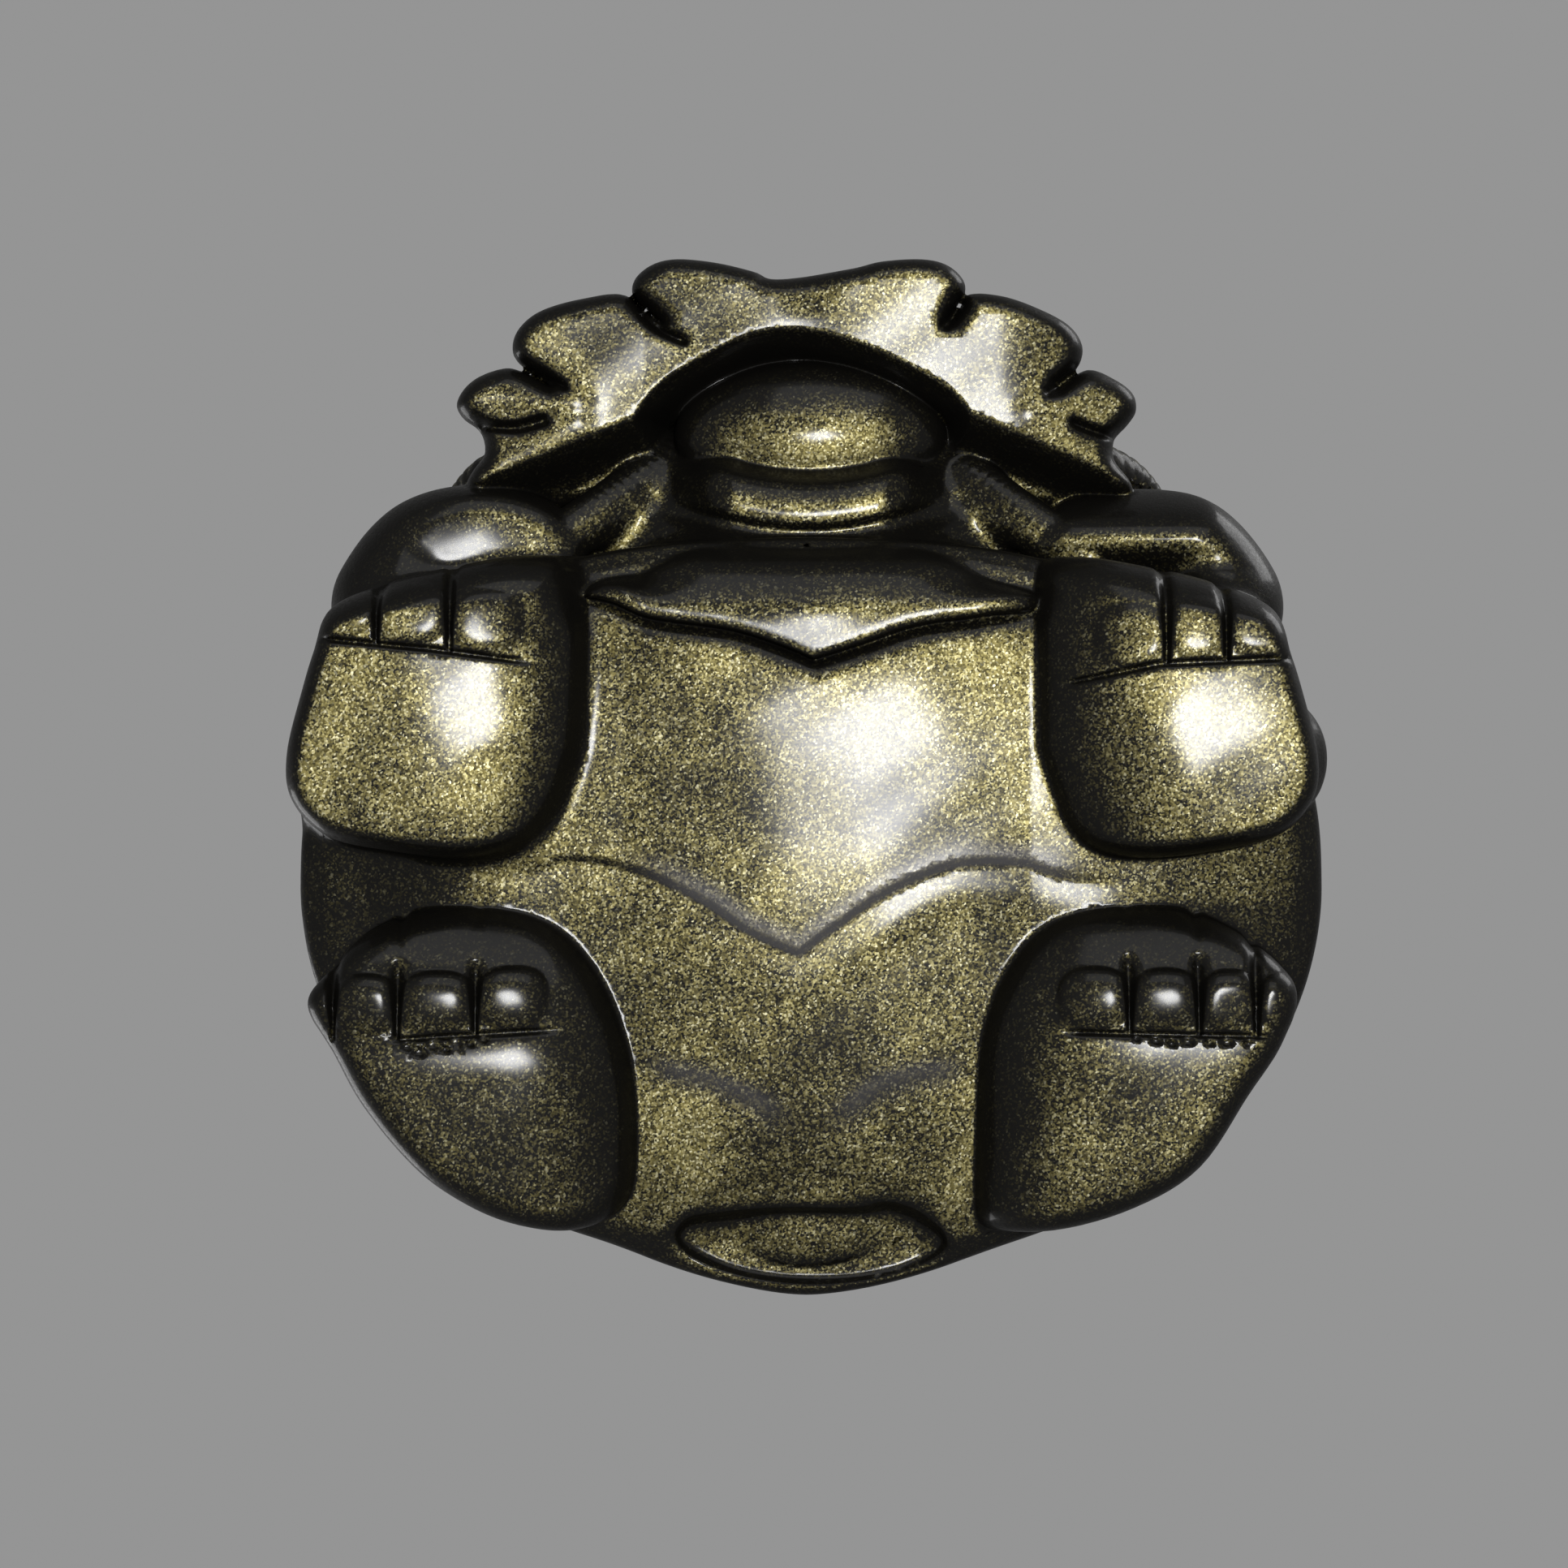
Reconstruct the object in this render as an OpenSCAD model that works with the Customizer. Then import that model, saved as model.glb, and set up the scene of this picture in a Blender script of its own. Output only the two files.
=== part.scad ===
// Dragon turtle, carved from one stone and standing on its four soles.
// The head looks along -Y, Z is up, and the floor is at zero.
// Every form is its own solid, and meets its neighbours along the carver's grooves.

/* [Whole carving] */
// Length from the front of the beard to the back of the shell
body_l = 88.8; // [80:0.2:100]
// Gap between the floor and the flat of the belly
belly_gap = 5; // [3:0.1:7]

/* [Shell] */
// Width of the shell at its rim
shell_w = 86; // [80:0.5:96]
// Length of the shell from its widest place to its front
shell_front_l = 29.6; // [27:0.2:33]
// Length of the shell from its widest place to its back
shell_back_l = 34.6; // [30:0.2:38]
// Height of the dome above the rim
dome_h = 34; // [30:0.5:38]
// Height of the rim above the belly
rim_rise = 4.5; // [3:0.1:6]
// How far the shell's plates stand above the grooves between them
plate_t = 0.8; // [0.4:0.1:1.4]
// Width of the grooves between the plates
plate_gap = 1.1; // [0.6:0.1:2]

/* [Belly] */
// Width of the belly plate between the legs
belly_w = 70; // [60:0.5:76]
// Thickness of the belly plate
belly_t = 4.6; // [3:0.1:7]
// Depth of each pointed step across the belly
belly_step = 0.5; // [0.2:0.1:1]

/* [Legs] */
// Width of a front foot
front_foot_w = 25.4; // [22:0.2:28]
// Length of a front foot
front_foot_l = 25.6; // [22:0.2:28]
// Height of a front leg up to the top of the shoulder
front_leg_h = 25; // [21:0.2:29]
// Distance from the middle to the outside of a front foot
front_reach = 43.8; // [41:0.2:47]
// Width of a rear foot
rear_foot_w = 28.4; // [25:0.2:31]
// Length of a rear foot
rear_foot_l = 28; // [25:0.2:31]
// Height of a rear leg up to the top of the thigh
rear_leg_h = 19; // [16:0.2:24]
// Distance from the middle to the outside of a rear foot
rear_reach = 41.4; // [39:0.2:44]
// Rounding of the sole's edge
sole_round = 3; // [1.5:0.1:4.5]
// Width of the cuts between the toes
toe_cut_w = 0.7; // [0.3:0.1:1.2]
// Depth of the cuts between the toes
toe_cut_d = 0.8; // [0.3:0.1:1.4]

/* [Neck] */
// Width of the neck
neck_w = 30; // [26:0.5:34]
// Height of the neck
neck_h = 24; // [21:0.5:26]

/* [Head] */
// Width of the head across the cheeks
head_w = 40; // [36:0.5:44]
// Length of the head from nose to nape
head_l = 27; // [25:0.5:30]
// Height of the head above the mouth
head_h = 27; // [25:0.5:30]
// Height of the mouth above the floor
mouth_z = 25; // [24:0.2:27]
// How far the nose stays behind the front of the beard
nose_set = 0.8; // [0.4:0.1:2]
// Height of the lower jaw
jaw_h = 8; // [6.6:0.2:9]
// Diameter of an eyeball
eye_d = 6.6; // [5:0.2:8]
// Length of a front tooth
tooth_l = 3.2; // [2:0.1:4]

/* [Beard] */
// Width across the lobes of the beard
beard_w = 58; // [52:0.5:64]
// Length of the beard from front to back
beard_l = 23; // [21:0.5:26]
// Thickness of the beard
beard_t = 8; // [6.6:0.2:10]
// Height of the beard's lowest face above the floor
beard_z = 12; // [11:0.2:13]
// Width of the swelling under the chin
chin_w = 16; // [12:0.2:20]

/* [Horns, brows and mane] */
// Thickness of a horn at its root
horn_d = 6.8; // [5:0.2:8]
// Thickness of a brow at its thickest
brow_d = 5.2; // [4:0.2:7]
// Thickness of a lock of the mane at its root
lock_d = 8.6; // [7:0.2:10]

/* [Tail] */
// Width of the tail leaf
tail_w = 21; // [16:0.5:26]
// Length of the tail leaf
tail_l = 12; // [10:0.5:15]
// Thickness of the tail leaf
tail_t = 7; // [5:0.2:9]

/* [Hidden] */

// One overrun serves every cut
over = 1;

// Colours of the stone, from deep black to the gold sheen
black_stone = [0.12, 0.12, 0.10];
olive_stone = [0.34, 0.32, 0.20];
gold_stone = [0.55, 0.51, 0.34];

// Facets round a large form, a small form and an outline
large_fn = 16;
small_fn = 12;
outline_fn = 16;

// Heights and places that follow from the sizes above
rim_z = belly_gap + rim_rise;
back_y = body_l / 2;
front_y = -body_l / 2;
shell_mid_y = back_y - shell_back_l;

// A form made of whole facets, after every cut that shapes it
module carved() {
    resize([0, 0, 0]) children();
}

// An egg: a centre and three radii, as shares of the size of the form that carries it
module egg(size, share, facets = large_fn) {
    translate([size[0] * share[0], size[1] * share[1], size[2] * share[2]])
        scale([size[0] * share[3], size[1] * share[4], size[2] * share[5]])
            sphere(1, $fn = facets);
}

// A ball on a lock, horn or brow: its place in shares of a size, its radius in shares of a thickness
module bead(size, thick, share) {
    translate([size[0] * share[0], size[1] * share[1], size[2] * share[2]])
        sphere(thick * share[3], $fn = small_fn);
}

// A tapering strand through a row of beads
module strand(size, thick, shares) {
    for (i = [0 : len(shares) - 2])
        hull() {
            bead(size, thick, shares[i]);
            bead(size, thick, shares[i + 1]);
        }
}

// The other side's copy of a form
module other_side() {
    mirror([1, 0, 0]) children();
}

module both_sides() {
    children();
    mirror([1, 0, 0]) children();
}

// Roundness of the shell in plan: two is an ellipse, and more is squarer
front_plan_power = 2.5;
back_plan_power = 1.9;
dome_steps = 38;

// The shell's profile from the middle of its underside to its top. Each point is a share
// of the way out to the rim and a height, as a share of the rise below or above the rim.
bowl_shares = [[0.5, -0.44], [0.88, -0.4], [0.97, -0.22]];
cap_shares = [
    [1, 0], [0.985, 0.08], [0.94, 0.13], [0.915, 0.25], [0.86, 0.45],
    [0.76, 0.64], [0.6, 0.82], [0.38, 0.94], [0.14, 0.995]
];

// A power that keeps the sign of its base
function signed_power(v, p) = sign(v) * pow(abs(v), p);
function plan_power(a) = sin(a) < 0 ? front_plan_power : back_plan_power;
function plan_reach(a) = sin(a) < 0 ? shell_front_l : shell_back_l;

// A point of the shell's plan: an angle, a share of the way to the rim, and an inset
function plan_point(a, share, inset = 0) =
    let (p = 2 / plan_power(a))
        [
            (shell_w / 2 - inset) * share * signed_power(cos(a), p),
            shell_mid_y + (plan_reach(a) - inset) * share * signed_power(sin(a), p)
        ];

// One ring of the shell's mass. Every other ring is turned by half a step.
function dome_ring(share, z, inset, turn) = [
    for (i = [0 : dome_steps - 1])
        concat(plan_point((i + turn) * 360 / dome_steps, share, inset), z)
];

// Joins rings of points, turned by turns, into one closed solid
module ring_stack(rings) {
    n = len(rings[0]);
    last = len(rings) - 1;
    side_faces = [
        for (k = [0 : last - 1], i = [0 : n - 1])
            let (j = (i + 1) % n, low = k * n, high = (k + 1) * n)
                each k % 2 == 0
                    ? [[low + i, high + i, low + j], [low + j, high + i, high + j]]
                    : [[low + i, high + i, high + j], [low + i, high + j, low + j]]
    ];
    low_end = [for (i = [0 : n - 1]) i];
    high_end = [for (i = [n - 1 : -1 : 0]) last * n + i];
    points = [for (r = rings) each r];
    polyhedron(points, concat(side_faces, [low_end], [high_end]), convexity = 4);
}

// The shell's mass: a shallow bowl below the rim and the dome above it
module dome(inset) {
    bowl = [for (s = bowl_shares) [s[0], rim_z + s[1] * rim_rise]];
    cap = [for (s = cap_shares) [s[0], rim_z + s[1] * (dome_h - inset)]];
    profile = concat(bowl, cap);
    ring_stack([
        for (k = [0 : len(profile) - 1])
            dome_ring(profile[k][0], profile[k][1], inset, (k % 2) / 2)
    ]);
}

// The shell's plates in plan: five along the back, four on each side and a ring at the rim.
// Shares run from the widest place to the front or the back of the shell, or to its side.
spine_tip_share = 0.27;
spine_waist_share = 0.16;
spine_line_shares = [-0.86, -0.52, -0.16, 0.2, 0.52, 0.78];
edge_share = 0.93;
edge_angles = [-62, -30, 3, 34, 62];
edge_plates = 26;
arc_steps = 3;

function shell_y(share) = shell_mid_y + share * (share < 0 ? shell_front_l : shell_back_l);
function spine_waist(side, i) = [side * spine_waist_share * shell_w / 2, shell_y(spine_line_shares[i])];
function spine_tip(side, i) = [
    side * spine_tip_share * shell_w / 2,
    shell_y((spine_line_shares[i] + spine_line_shares[i + 1]) / 2)
];
function mirrored(side, p) = [side * p[0], p[1]];
function edge_arc(side, from, to, share) = [
    for (k = [0 : arc_steps])
        mirrored(side, plan_point(from + (to - from) * k / arc_steps, share))
];

module spine_plate(i) {
    last = len(spine_line_shares) - 2;
    polygon(concat(
        [spine_tip(-1, i), spine_waist(-1, i), spine_waist(1, i), spine_tip(1, i)],
        i < last
            ? [spine_waist(1, i + 1), spine_waist(-1, i + 1)]
            : edge_arc(1, edge_angles[last], 180 - edge_angles[last], edge_share)
    ));
}

module side_plate(side, i) {
    polygon(concat(
        [spine_tip(side, i), spine_waist(side, i + 1), spine_tip(side, i + 1)],
        edge_arc(side, edge_angles[i + 1], edge_angles[i], edge_share)
    ));
}

module edge_plate(i) {
    a = 360 / edge_plates;
    polygon(concat(
        edge_arc(1, i * a, (i + 1) * a, edge_share),
        edge_arc(1, (i + 1) * a, i * a, 1 + plate_t / shell_w)
    ));
}

module plate_column() {
    translate([0, 0, rim_z])
        linear_extrude(dome_h + over)
            offset(delta = -plate_gap / 2)
                children();
}

module raw_shell() {
    dome(plate_t);
    intersection() {
        dome(0);
        union() {
            for (i = [0 : len(spine_line_shares) - 2])
                plate_column() spine_plate(i);
            for (side = [-1, 1], i = [0 : len(edge_angles) - 2])
                plate_column() side_plate(side, i);
            for (i = [0 : edge_plates - 1])
                plate_column() edge_plate(i);
            translate([-shell_w, -body_l, 0])
                cube([2 * shell_w, 2 * body_l, rim_z]);
        }
    }
}

// The belly plate: its outline and its pointed steps, as shares of its half width,
// its front length and its back length from the line between the front feet
belly_front_l = 24;
belly_back_l = 27.6;
belly_back_set = 7;
belly_mid_y = back_y - belly_back_set - belly_back_l;
belly_front_shares = [[0, -0.79], [0.19, -0.88], [0.52, -0.96], [1, -0.25]];
belly_back_shares = [[1, 0.35], [0.41, 1], [0.15, 0.975]];
belly_vee_shares = [[0, 0.205], [0.225, 0.03], [0.45, -0.07], [0.75, -0.03], [1.2, 0.05]];
belly_low_vee_shares = [[0, 0.715], [0.21, 0.605], [0.4, 0.56], [0.8, 0.5], [1.2, 0.5]];

function belly_point(s) = [
    s[0] * belly_w / 2,
    belly_mid_y + s[1] * (s[1] < 0 ? belly_front_l : belly_back_l)
];
function half_line(shares) = [for (s = shares) belly_point(s)];
function whole_line(shares) = concat(
    [for (i = [len(shares) - 1 : -1 : 0]) mirrored(-1, belly_point(shares[i]))],
    half_line([for (i = [1 : len(shares) - 1]) shares[i]])
);

module belly_outline() {
    last = len(belly_back_shares) - 1;
    polygon(concat(
        whole_line(belly_front_shares),
        half_line(belly_back_shares),
        [for (i = [last : -1 : 0]) mirrored(-1, belly_point(belly_back_shares[i]))]
    ));
}

// The ground behind one of the pointed steps
module behind(shares) {
    far = belly_mid_y + body_l;
    polygon(concat(whole_line(shares), [[shell_w, far], [-shell_w, far]]));
}

module raw_plastron() {
    difference() {
        translate([0, 0, belly_gap])
            linear_extrude(belly_t)
                belly_outline();
        translate([0, 0, belly_gap - over])
            linear_extrude(over + belly_step)
                behind(belly_vee_shares);
        translate([0, 0, belly_gap - over])
            linear_extrude(over + 2 * belly_step)
                behind(belly_low_vee_shares);
    }
}

// The tail: a leaf tucked under the back of the rim, with a ridge down its middle
tail_shares = [[0, -0.45, 0, 1, 0.5, 0.5], [0, -0.2, 0, 0.6, 0.3, 0.56]];

module raw_tail() {
    translate([0, back_y - belly_gap / 2, rim_z])
        hull()
            for (s = tail_shares)
                egg([tail_w / 2, tail_l, tail_t], s);
}

// The feet. Outlines are shares of a foot's width from its outer side and of its length
// from its toes, and slices are a height and an inset in shares of the sole's rounding.
front_toe_y = -18.2;
rear_toe_y = 10.4;
foot_corner = 3.2;
front_foot_shares = [
    [0.15, 0.17], [0.5, 0.05], [0.86, 0], [1, 0.1], [1, 0.52],
    [0.93, 0.84], [0.7, 1], [0.2, 0.96], [0, 0.72], [0.06, 0.42]
];
front_pad_shares = [
    [0.1, 0.36], [0.55, 0.33], [1, 0.36], [1, 0.52],
    [0.93, 0.84], [0.7, 1], [0.2, 0.96], [0, 0.72], [0.06, 0.42]
];
rear_foot_shares = [
    [0.01, 0.3], [0.2, 0.1], [0.48, 0], [0.72, 0.02], [0.9, 0.2],
    [1, 0.55], [1, 0.88], [0.92, 1], [0.72, 1], [0.38, 0.87], [0.14, 0.54]
];
rear_pad_shares = [
    [0.09, 0.43], [0.5, 0.4], [0.97, 0.43], [1, 0.55], [1, 0.88],
    [0.92, 1], [0.72, 1], [0.38, 0.87], [0.14, 0.54]
];
pad_slice_shares = [[0, 1], [0.35, 0.35]];
foot_slice_shares = [[1.2, 0], [2.6, 0.15], [3.6, 0.9]];

// Eggs of the upper legs, as shares of the foot's width and length and the leg's height
front_shoulder_share = [0.366, 0.164, 0.68, 0.276, 0.266, 0.3];
front_chest_share = [0.78, -0.004, 0.68, 0.256, 0.254, 0.28];
front_root_share = [0.62, 0.52, 0.64, 0.354, 0.39, 0.32];
rear_thigh_share = [0.49, 0.48, 0.58, 0.475, 0.4, 0.42];

// Cuts between the toes: places across the foot, and the line that they run up to
front_cut_shares = [0.32, 0.56];
front_line_share = 0.32;
rear_cut_shares = [0.16, 0.31, 0.505];
rear_line_share = 0.4;
toe_line_shares = [0.06, 0.86];

// A thin level slice of a foot: a coin at each corner, for a hull to join
module foot_slice(size, shares, z, inset) {
    thin = sole_round / 20;
    rim = foot_corner + inset;
    for (s = shares)
        translate([rim + s[0] * (size[0] - 2 * rim), rim + s[1] * (size[1] - 2 * rim), z - thin])
            cylinder(h = thin, r = foot_corner, $fn = outline_fn);
}

module paw(size, foot_shares, pad_shares, inset = 0) {
    hull() {
        for (s = pad_slice_shares)
            foot_slice(size, pad_shares, inset + s[0] * sole_round, inset + s[1] * sole_round);
        for (s = foot_slice_shares)
            foot_slice(size, foot_shares, inset + s[0] * sole_round, inset + s[1] * sole_round);
    }
}

// The scored lines of the toes, before the foot's own curve limits their depth
module toe_cuts(size, cut_shares, line_share) {
    deep = size[2] / 2;
    translate([toe_line_shares[0] * size[0], line_share * size[1], -over])
        cube([(toe_line_shares[1] - toe_line_shares[0]) * size[0], toe_cut_w, over + sole_round]);
    for (s = cut_shares)
        translate([s * size[0] - toe_cut_w / 2, -over, -over])
            cube([toe_cut_w, over + line_share * size[1], over + deep]);
}

module scored_paw(size, foot_shares, pad_shares, cut_shares, line_share) {
    difference() {
        paw(size, foot_shares, pad_shares);
        difference() {
            toe_cuts(size, cut_shares, line_share);
            paw(size, foot_shares, pad_shares, toe_cut_d);
        }
    }
}

module raw_front_leg() {
    size = [front_foot_w, front_foot_l, front_leg_h];
    top = foot_slice_shares[1];
    translate([front_reach, front_toe_y, 0])
        mirror([1, 0, 0]) {
            scored_paw(size, front_foot_shares, front_pad_shares, front_cut_shares, front_line_share);
            hull() {
                foot_slice(size, front_foot_shares, top[0] * sole_round, top[1] * sole_round);
                egg(size, front_shoulder_share);
                egg(size, front_chest_share);
                egg(size, front_root_share);
            }
        }
}

module raw_rear_leg() {
    size = [rear_foot_w, rear_foot_l, rear_leg_h];
    top = foot_slice_shares[1];
    translate([rear_reach, rear_toe_y, 0])
        mirror([1, 0, 0]) {
            scored_paw(size, rear_foot_shares, rear_pad_shares, rear_cut_shares, rear_line_share);
            hull() {
                foot_slice(size, rear_foot_shares, top[0] * sole_round, top[1] * sole_round);
                egg(size, rear_thigh_share);
            }
        }
}

// Everything under the floor, which leaves each sole flat
module below_floor() {
    translate([-shell_w, -body_l, -shell_w])
        cube([2 * shell_w, 2 * body_l, shell_w]);
}

// The head, in shares of its half width, length and height from the tip of the nose
nose_y = front_y + nose_set;
head_size = [head_w / 2, head_l, head_h];
head_shares = [
    [0, 0.611, 0.5, 0.78, 0.444, 0.444], [0, 0.389, 0.537, 0.6, 0.26, 0.26],
    [0, 0.319, 0.296, 0.525, 0.315, 0.204], [0, 0.133, 0.356, 0.34, 0.133, 0.141],
    [0, 0.37, 0.156, 0.675, 0.363, 0.133], [0, 0.667, 0.26, 0.65, 0.315, 0.333]
];
head_side_shares = [
    [0.23, 0.126, 0.341, 0.15, 0.104, 0.104], [0.675, 0.63, 0.315, 0.325, 0.296, 0.278],
    [0.475, 0.193, 0.17, 0.18, 0.11, 0.11], [0.58, 0.5, 0.52, 0.3, 0.28, 0.3]
];
nostril_share = [0.22, 0.022, 0.348, 0.06, 0.067, 0.044];
eye_place_share = [0.465, 0.289, 0.504];
brow_shares = [
    [0.15, 0.17, 0.61, 0.38], [0.425, 0.19, 0.685, 0.5], [0.625, 0.33, 0.74, 0.46],
    [0.775, 0.52, 0.8, 0.3], [0.875, 0.7, 0.87, 0.13]
];
horn_shares = [
    [0.375, 0.704, 0.778, 0.5], [0.525, 1.022, 0.863, 0.47], [0.65, 1.319, 0.793, 0.4],
    [0.76, 1.578, 0.674, 0.29], [0.82, 1.8, 0.641, 0.13]
];
cheek_lock_shares = [
    [
        [0.75, 0.504, 0.407, 0.52], [1.05, 0.652, 0.444, 0.46],
        [1.3, 0.8, 0.52, 0.3], [1.45, 0.911, 0.63, 0.1]
    ],
    [
        [0.8, 0.504, 0.185, 0.52], [1.15, 0.596, 0.222, 0.45],
        [1.425, 0.633, 0.296, 0.3], [1.625, 0.69, 0.41, 0.1]
    ],
    [
        [0.75, 0.541, -0.037, 0.5], [1.075, 0.615, -0.037, 0.42],
        [1.325, 0.726, 0.02, 0.28], [1.5, 0.874, 0.11, 0.1]
    ]
];
nape_shares = [[0, 0.985, 0.41, 0.75, 0.34, 0.38]];
nape_row_shares = [-0.5, -0.25, 0, 0.25, 0.5];
nape_lock_shares = [
    [1, 1.096, 0.63, 0.49], [1.1, 1.32, 0.611, 0.39], [1.15, 1.54, 0.667, 0.23],
    [1.1, 1.71, 0.704, 0.1]
];

// Teeth in a row along the front of the lip
tooth_angles = [-54, -32, -11, 11, 32, 54];
tooth_row_shares = [0.56, 0.32, 0.115];
tooth_root_share = 0.7;
tooth_tip_share = 0.15;
tooth_fn = 10;

module at_nose() {
    translate([0, nose_y, mouth_z]) children();
}

module teeth() {
    for (a = tooth_angles)
        translate([
            tooth_row_shares[0] * head_size[0] * sin(a),
            (head_shares[4][1] - tooth_row_shares[1] * cos(a)) * head_size[1],
            tooth_row_shares[2] * head_size[2]
        ])
            mirror([0, 0, 1])
                cylinder(
                    h = tooth_l,
                    d1 = tooth_l * tooth_root_share,
                    d2 = tooth_l * tooth_tip_share,
                    $fn = tooth_fn
                );
}

module raw_head() {
    at_nose() {
        difference() {
            union() {
                for (s = head_shares)
                    egg(head_size, s);
                both_sides()
                    for (s = head_side_shares)
                        egg(head_size, s, small_fn);
            }
            both_sides() egg(head_size, nostril_share, small_fn);
        }
        teeth();
    }
}

module raw_eye() {
    at_nose()
        translate([for (i = [0 : 2]) eye_place_share[i] * head_size[i]])
            sphere(d = eye_d, $fn = large_fn);
}

module raw_brow() {
    at_nose() strand(head_size, brow_d, brow_shares);
}

module raw_horn() {
    at_nose() strand(head_size, horn_d, horn_shares);
}

module raw_cheek_mane() {
    at_nose()
        for (lock = cheek_lock_shares)
            strand(head_size, lock_d, lock);
}

module raw_nape_mane() {
    at_nose() {
        for (s = nape_shares)
            egg(head_size, s);
        for (x = nape_row_shares)
            strand(head_size, lock_d, [for (s = nape_lock_shares) [x * s[0], s[1], s[2], s[3]]]);
    }
}

// The lower jaw, in shares of the head's half width and length and the jaw's height
jaw_shares = [[0, 0.444, -0.475, 0.625, 0.389, 0.5], [0, 0.17, -0.375, 0.325, 0.133, 0.375]];

module raw_lower_jaw() {
    at_nose()
        for (s = jaw_shares)
            egg([head_w / 2, head_l, jaw_h], s);
}

// The swelling under the chin, inside the hollow of the beard
chin_place_share = 0.526;
chin_half_shares = [0.76, 0.38, 0.29];

module raw_throat_bulb() {
    translate([0, nose_y + chin_place_share * head_l, mouth_z - jaw_h])
        scale([for (s = chin_half_shares) s * chin_w])
            sphere(1, $fn = large_fn);
}

// The beard: four lobes on each side of a plate, each with a root and a tip. A share is
// a place in the half width and the length, a radius in the half width, and then
// a height and a half thickness in the thickness of the plate.
beard_base_shares = [
    [0, 0.365, 0.193, 0.45, 0.45], [0.448, 0.539, 0.241, 0.5, 0.47],
    [0.586, 0.757, 0.207, 0.56, 0.44]
];
beard_lobe_shares = [
    [[0.103, 0.26, 0.13, 0.4, 0.4], [0.366, 0.135, 0.103, 0.36, 0.3]],
    [[0.448, 0.36, 0.16, 0.45, 0.42], [0.7, 0.343, 0.117, 0.45, 0.3]],
    [[0.655, 0.583, 0.16, 0.55, 0.42], [0.91, 0.552, 0.09, 0.62, 0.26]],
    [[0.69, 0.757, 0.15, 0.6, 0.4], [0.907, 0.883, 0.072, 0.72, 0.24]]
];
beard_hollow_shares = [
    [0, 0.3], [0.241, 0.391], [0.428, 0.53], [0.469, 0.635], [0.414, 0.778], [0.414, 1.2]
];
beard_hollow_depth_share = 0.68;

module beard_egg(s) {
    translate([s[0] * beard_w / 2, s[1] * beard_l, s[3] * beard_t])
        scale([s[2] * beard_w / 2, s[2] * beard_w / 2, s[4] * beard_t])
            sphere(1, $fn = small_fn);
}

module beard_hollow_outline() {
    half = [for (s = beard_hollow_shares) [s[0] * beard_w / 2, s[1] * beard_l]];
    polygon(concat(half, [for (i = [len(half) - 1 : -1 : 1]) mirrored(-1, half[i])]));
}

module raw_beard() {
    translate([0, front_y, beard_z])
        difference() {
            both_sides() {
                hull()
                    for (s = beard_base_shares)
                        beard_egg(s);
                for (lobe = beard_lobe_shares)
                    hull()
                        for (s = lobe)
                            beard_egg(s);
            }
            translate([0, 0, -over])
                linear_extrude(over + beard_hollow_depth_share * beard_t)
                    beard_hollow_outline();
        }
}

// The neck, in shares of its half width and height, from a place behind the head
neck_y_share = 0.95;
neck_z_share = 0.55;
neck_shares = [[0, 0.21, -0.04, 1.13, 0.375, 0.395], [0, -0.25, 0.2, 0.93, 0.375, 0.375]];
neck_fold_shares = [[0, -0.1875, 0.22, 0.76, 0.07, 0.42], [0, -0.0125, 0.15, 0.9, 0.07, 0.45]];
neck_strap_shares = [[0.87, -0.35, -0.06, 0.1], [1.5, 0, -0.21, 0.1]];

module raw_neck() {
    size = [neck_w / 2, neck_h, neck_h];
    translate([0, nose_y + neck_y_share * head_l, belly_gap + neck_z_share * (mouth_z - belly_gap)]) {
        hull()
            for (s = neck_shares)
                egg(size, s);
        for (s = neck_fold_shares)
            egg(size, s);
        both_sides() strand(size, neck_h, neck_strap_shares);
    }
}

// Each form gives way to the ones that the carver cut above it
module eye_form() {
    color(black_stone) carved() raw_eye();
}

module horn_form() {
    color(black_stone) carved() raw_horn();
}

module brow_form() {
    color(olive_stone)
        carved()
            difference() {
                raw_brow();
                raw_eye();
                raw_horn();
            }
}

module head() {
    color(olive_stone)
        carved()
            difference() {
                raw_head();
                both_sides() {
                    raw_eye();
                    raw_brow();
                    raw_horn();
                }
            }
}

module lower_jaw() {
    color(olive_stone)
        carved()
            difference() {
                raw_lower_jaw();
                raw_head();
            }
}

module throat_bulb() {
    color(gold_stone)
        carved()
            difference() {
                raw_throat_bulb();
                raw_lower_jaw();
                raw_head();
            }
}

module beard_frill() {
    color(gold_stone)
        carved()
            difference() {
                raw_beard();
                raw_throat_bulb();
                raw_lower_jaw();
                raw_head();
                both_sides() raw_front_leg();
            }
}

module cheek_mane_form() {
    color(black_stone)
        carved()
            difference() {
                raw_cheek_mane();
                raw_head();
                raw_lower_jaw();
                raw_beard();
                raw_brow();
                raw_horn();
                raw_front_leg();
            }
}

module nape_mane() {
    color(black_stone)
        carved()
            difference() {
                raw_nape_mane();
                raw_head();
                both_sides() {
                    raw_brow();
                    raw_horn();
                    raw_cheek_mane();
                }
            }
}

module front_leg_form() {
    color(olive_stone)
        difference() {
            carved() raw_front_leg();
            below_floor();
        }
}

module rear_leg_form() {
    color(olive_stone)
        difference() {
            carved() raw_rear_leg();
            below_floor();
        }
}

module neck() {
    color(black_stone)
        carved()
            difference() {
                raw_neck();
                raw_head();
                raw_lower_jaw();
                raw_throat_bulb();
                raw_beard();
                raw_nape_mane();
                raw_plastron();
                both_sides() {
                    raw_cheek_mane();
                    raw_front_leg();
                }
            }
}

module plastron() {
    color(gold_stone)
        carved()
            difference() {
                raw_plastron();
                both_sides() {
                    raw_front_leg();
                    raw_rear_leg();
                }
            }
}

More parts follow.
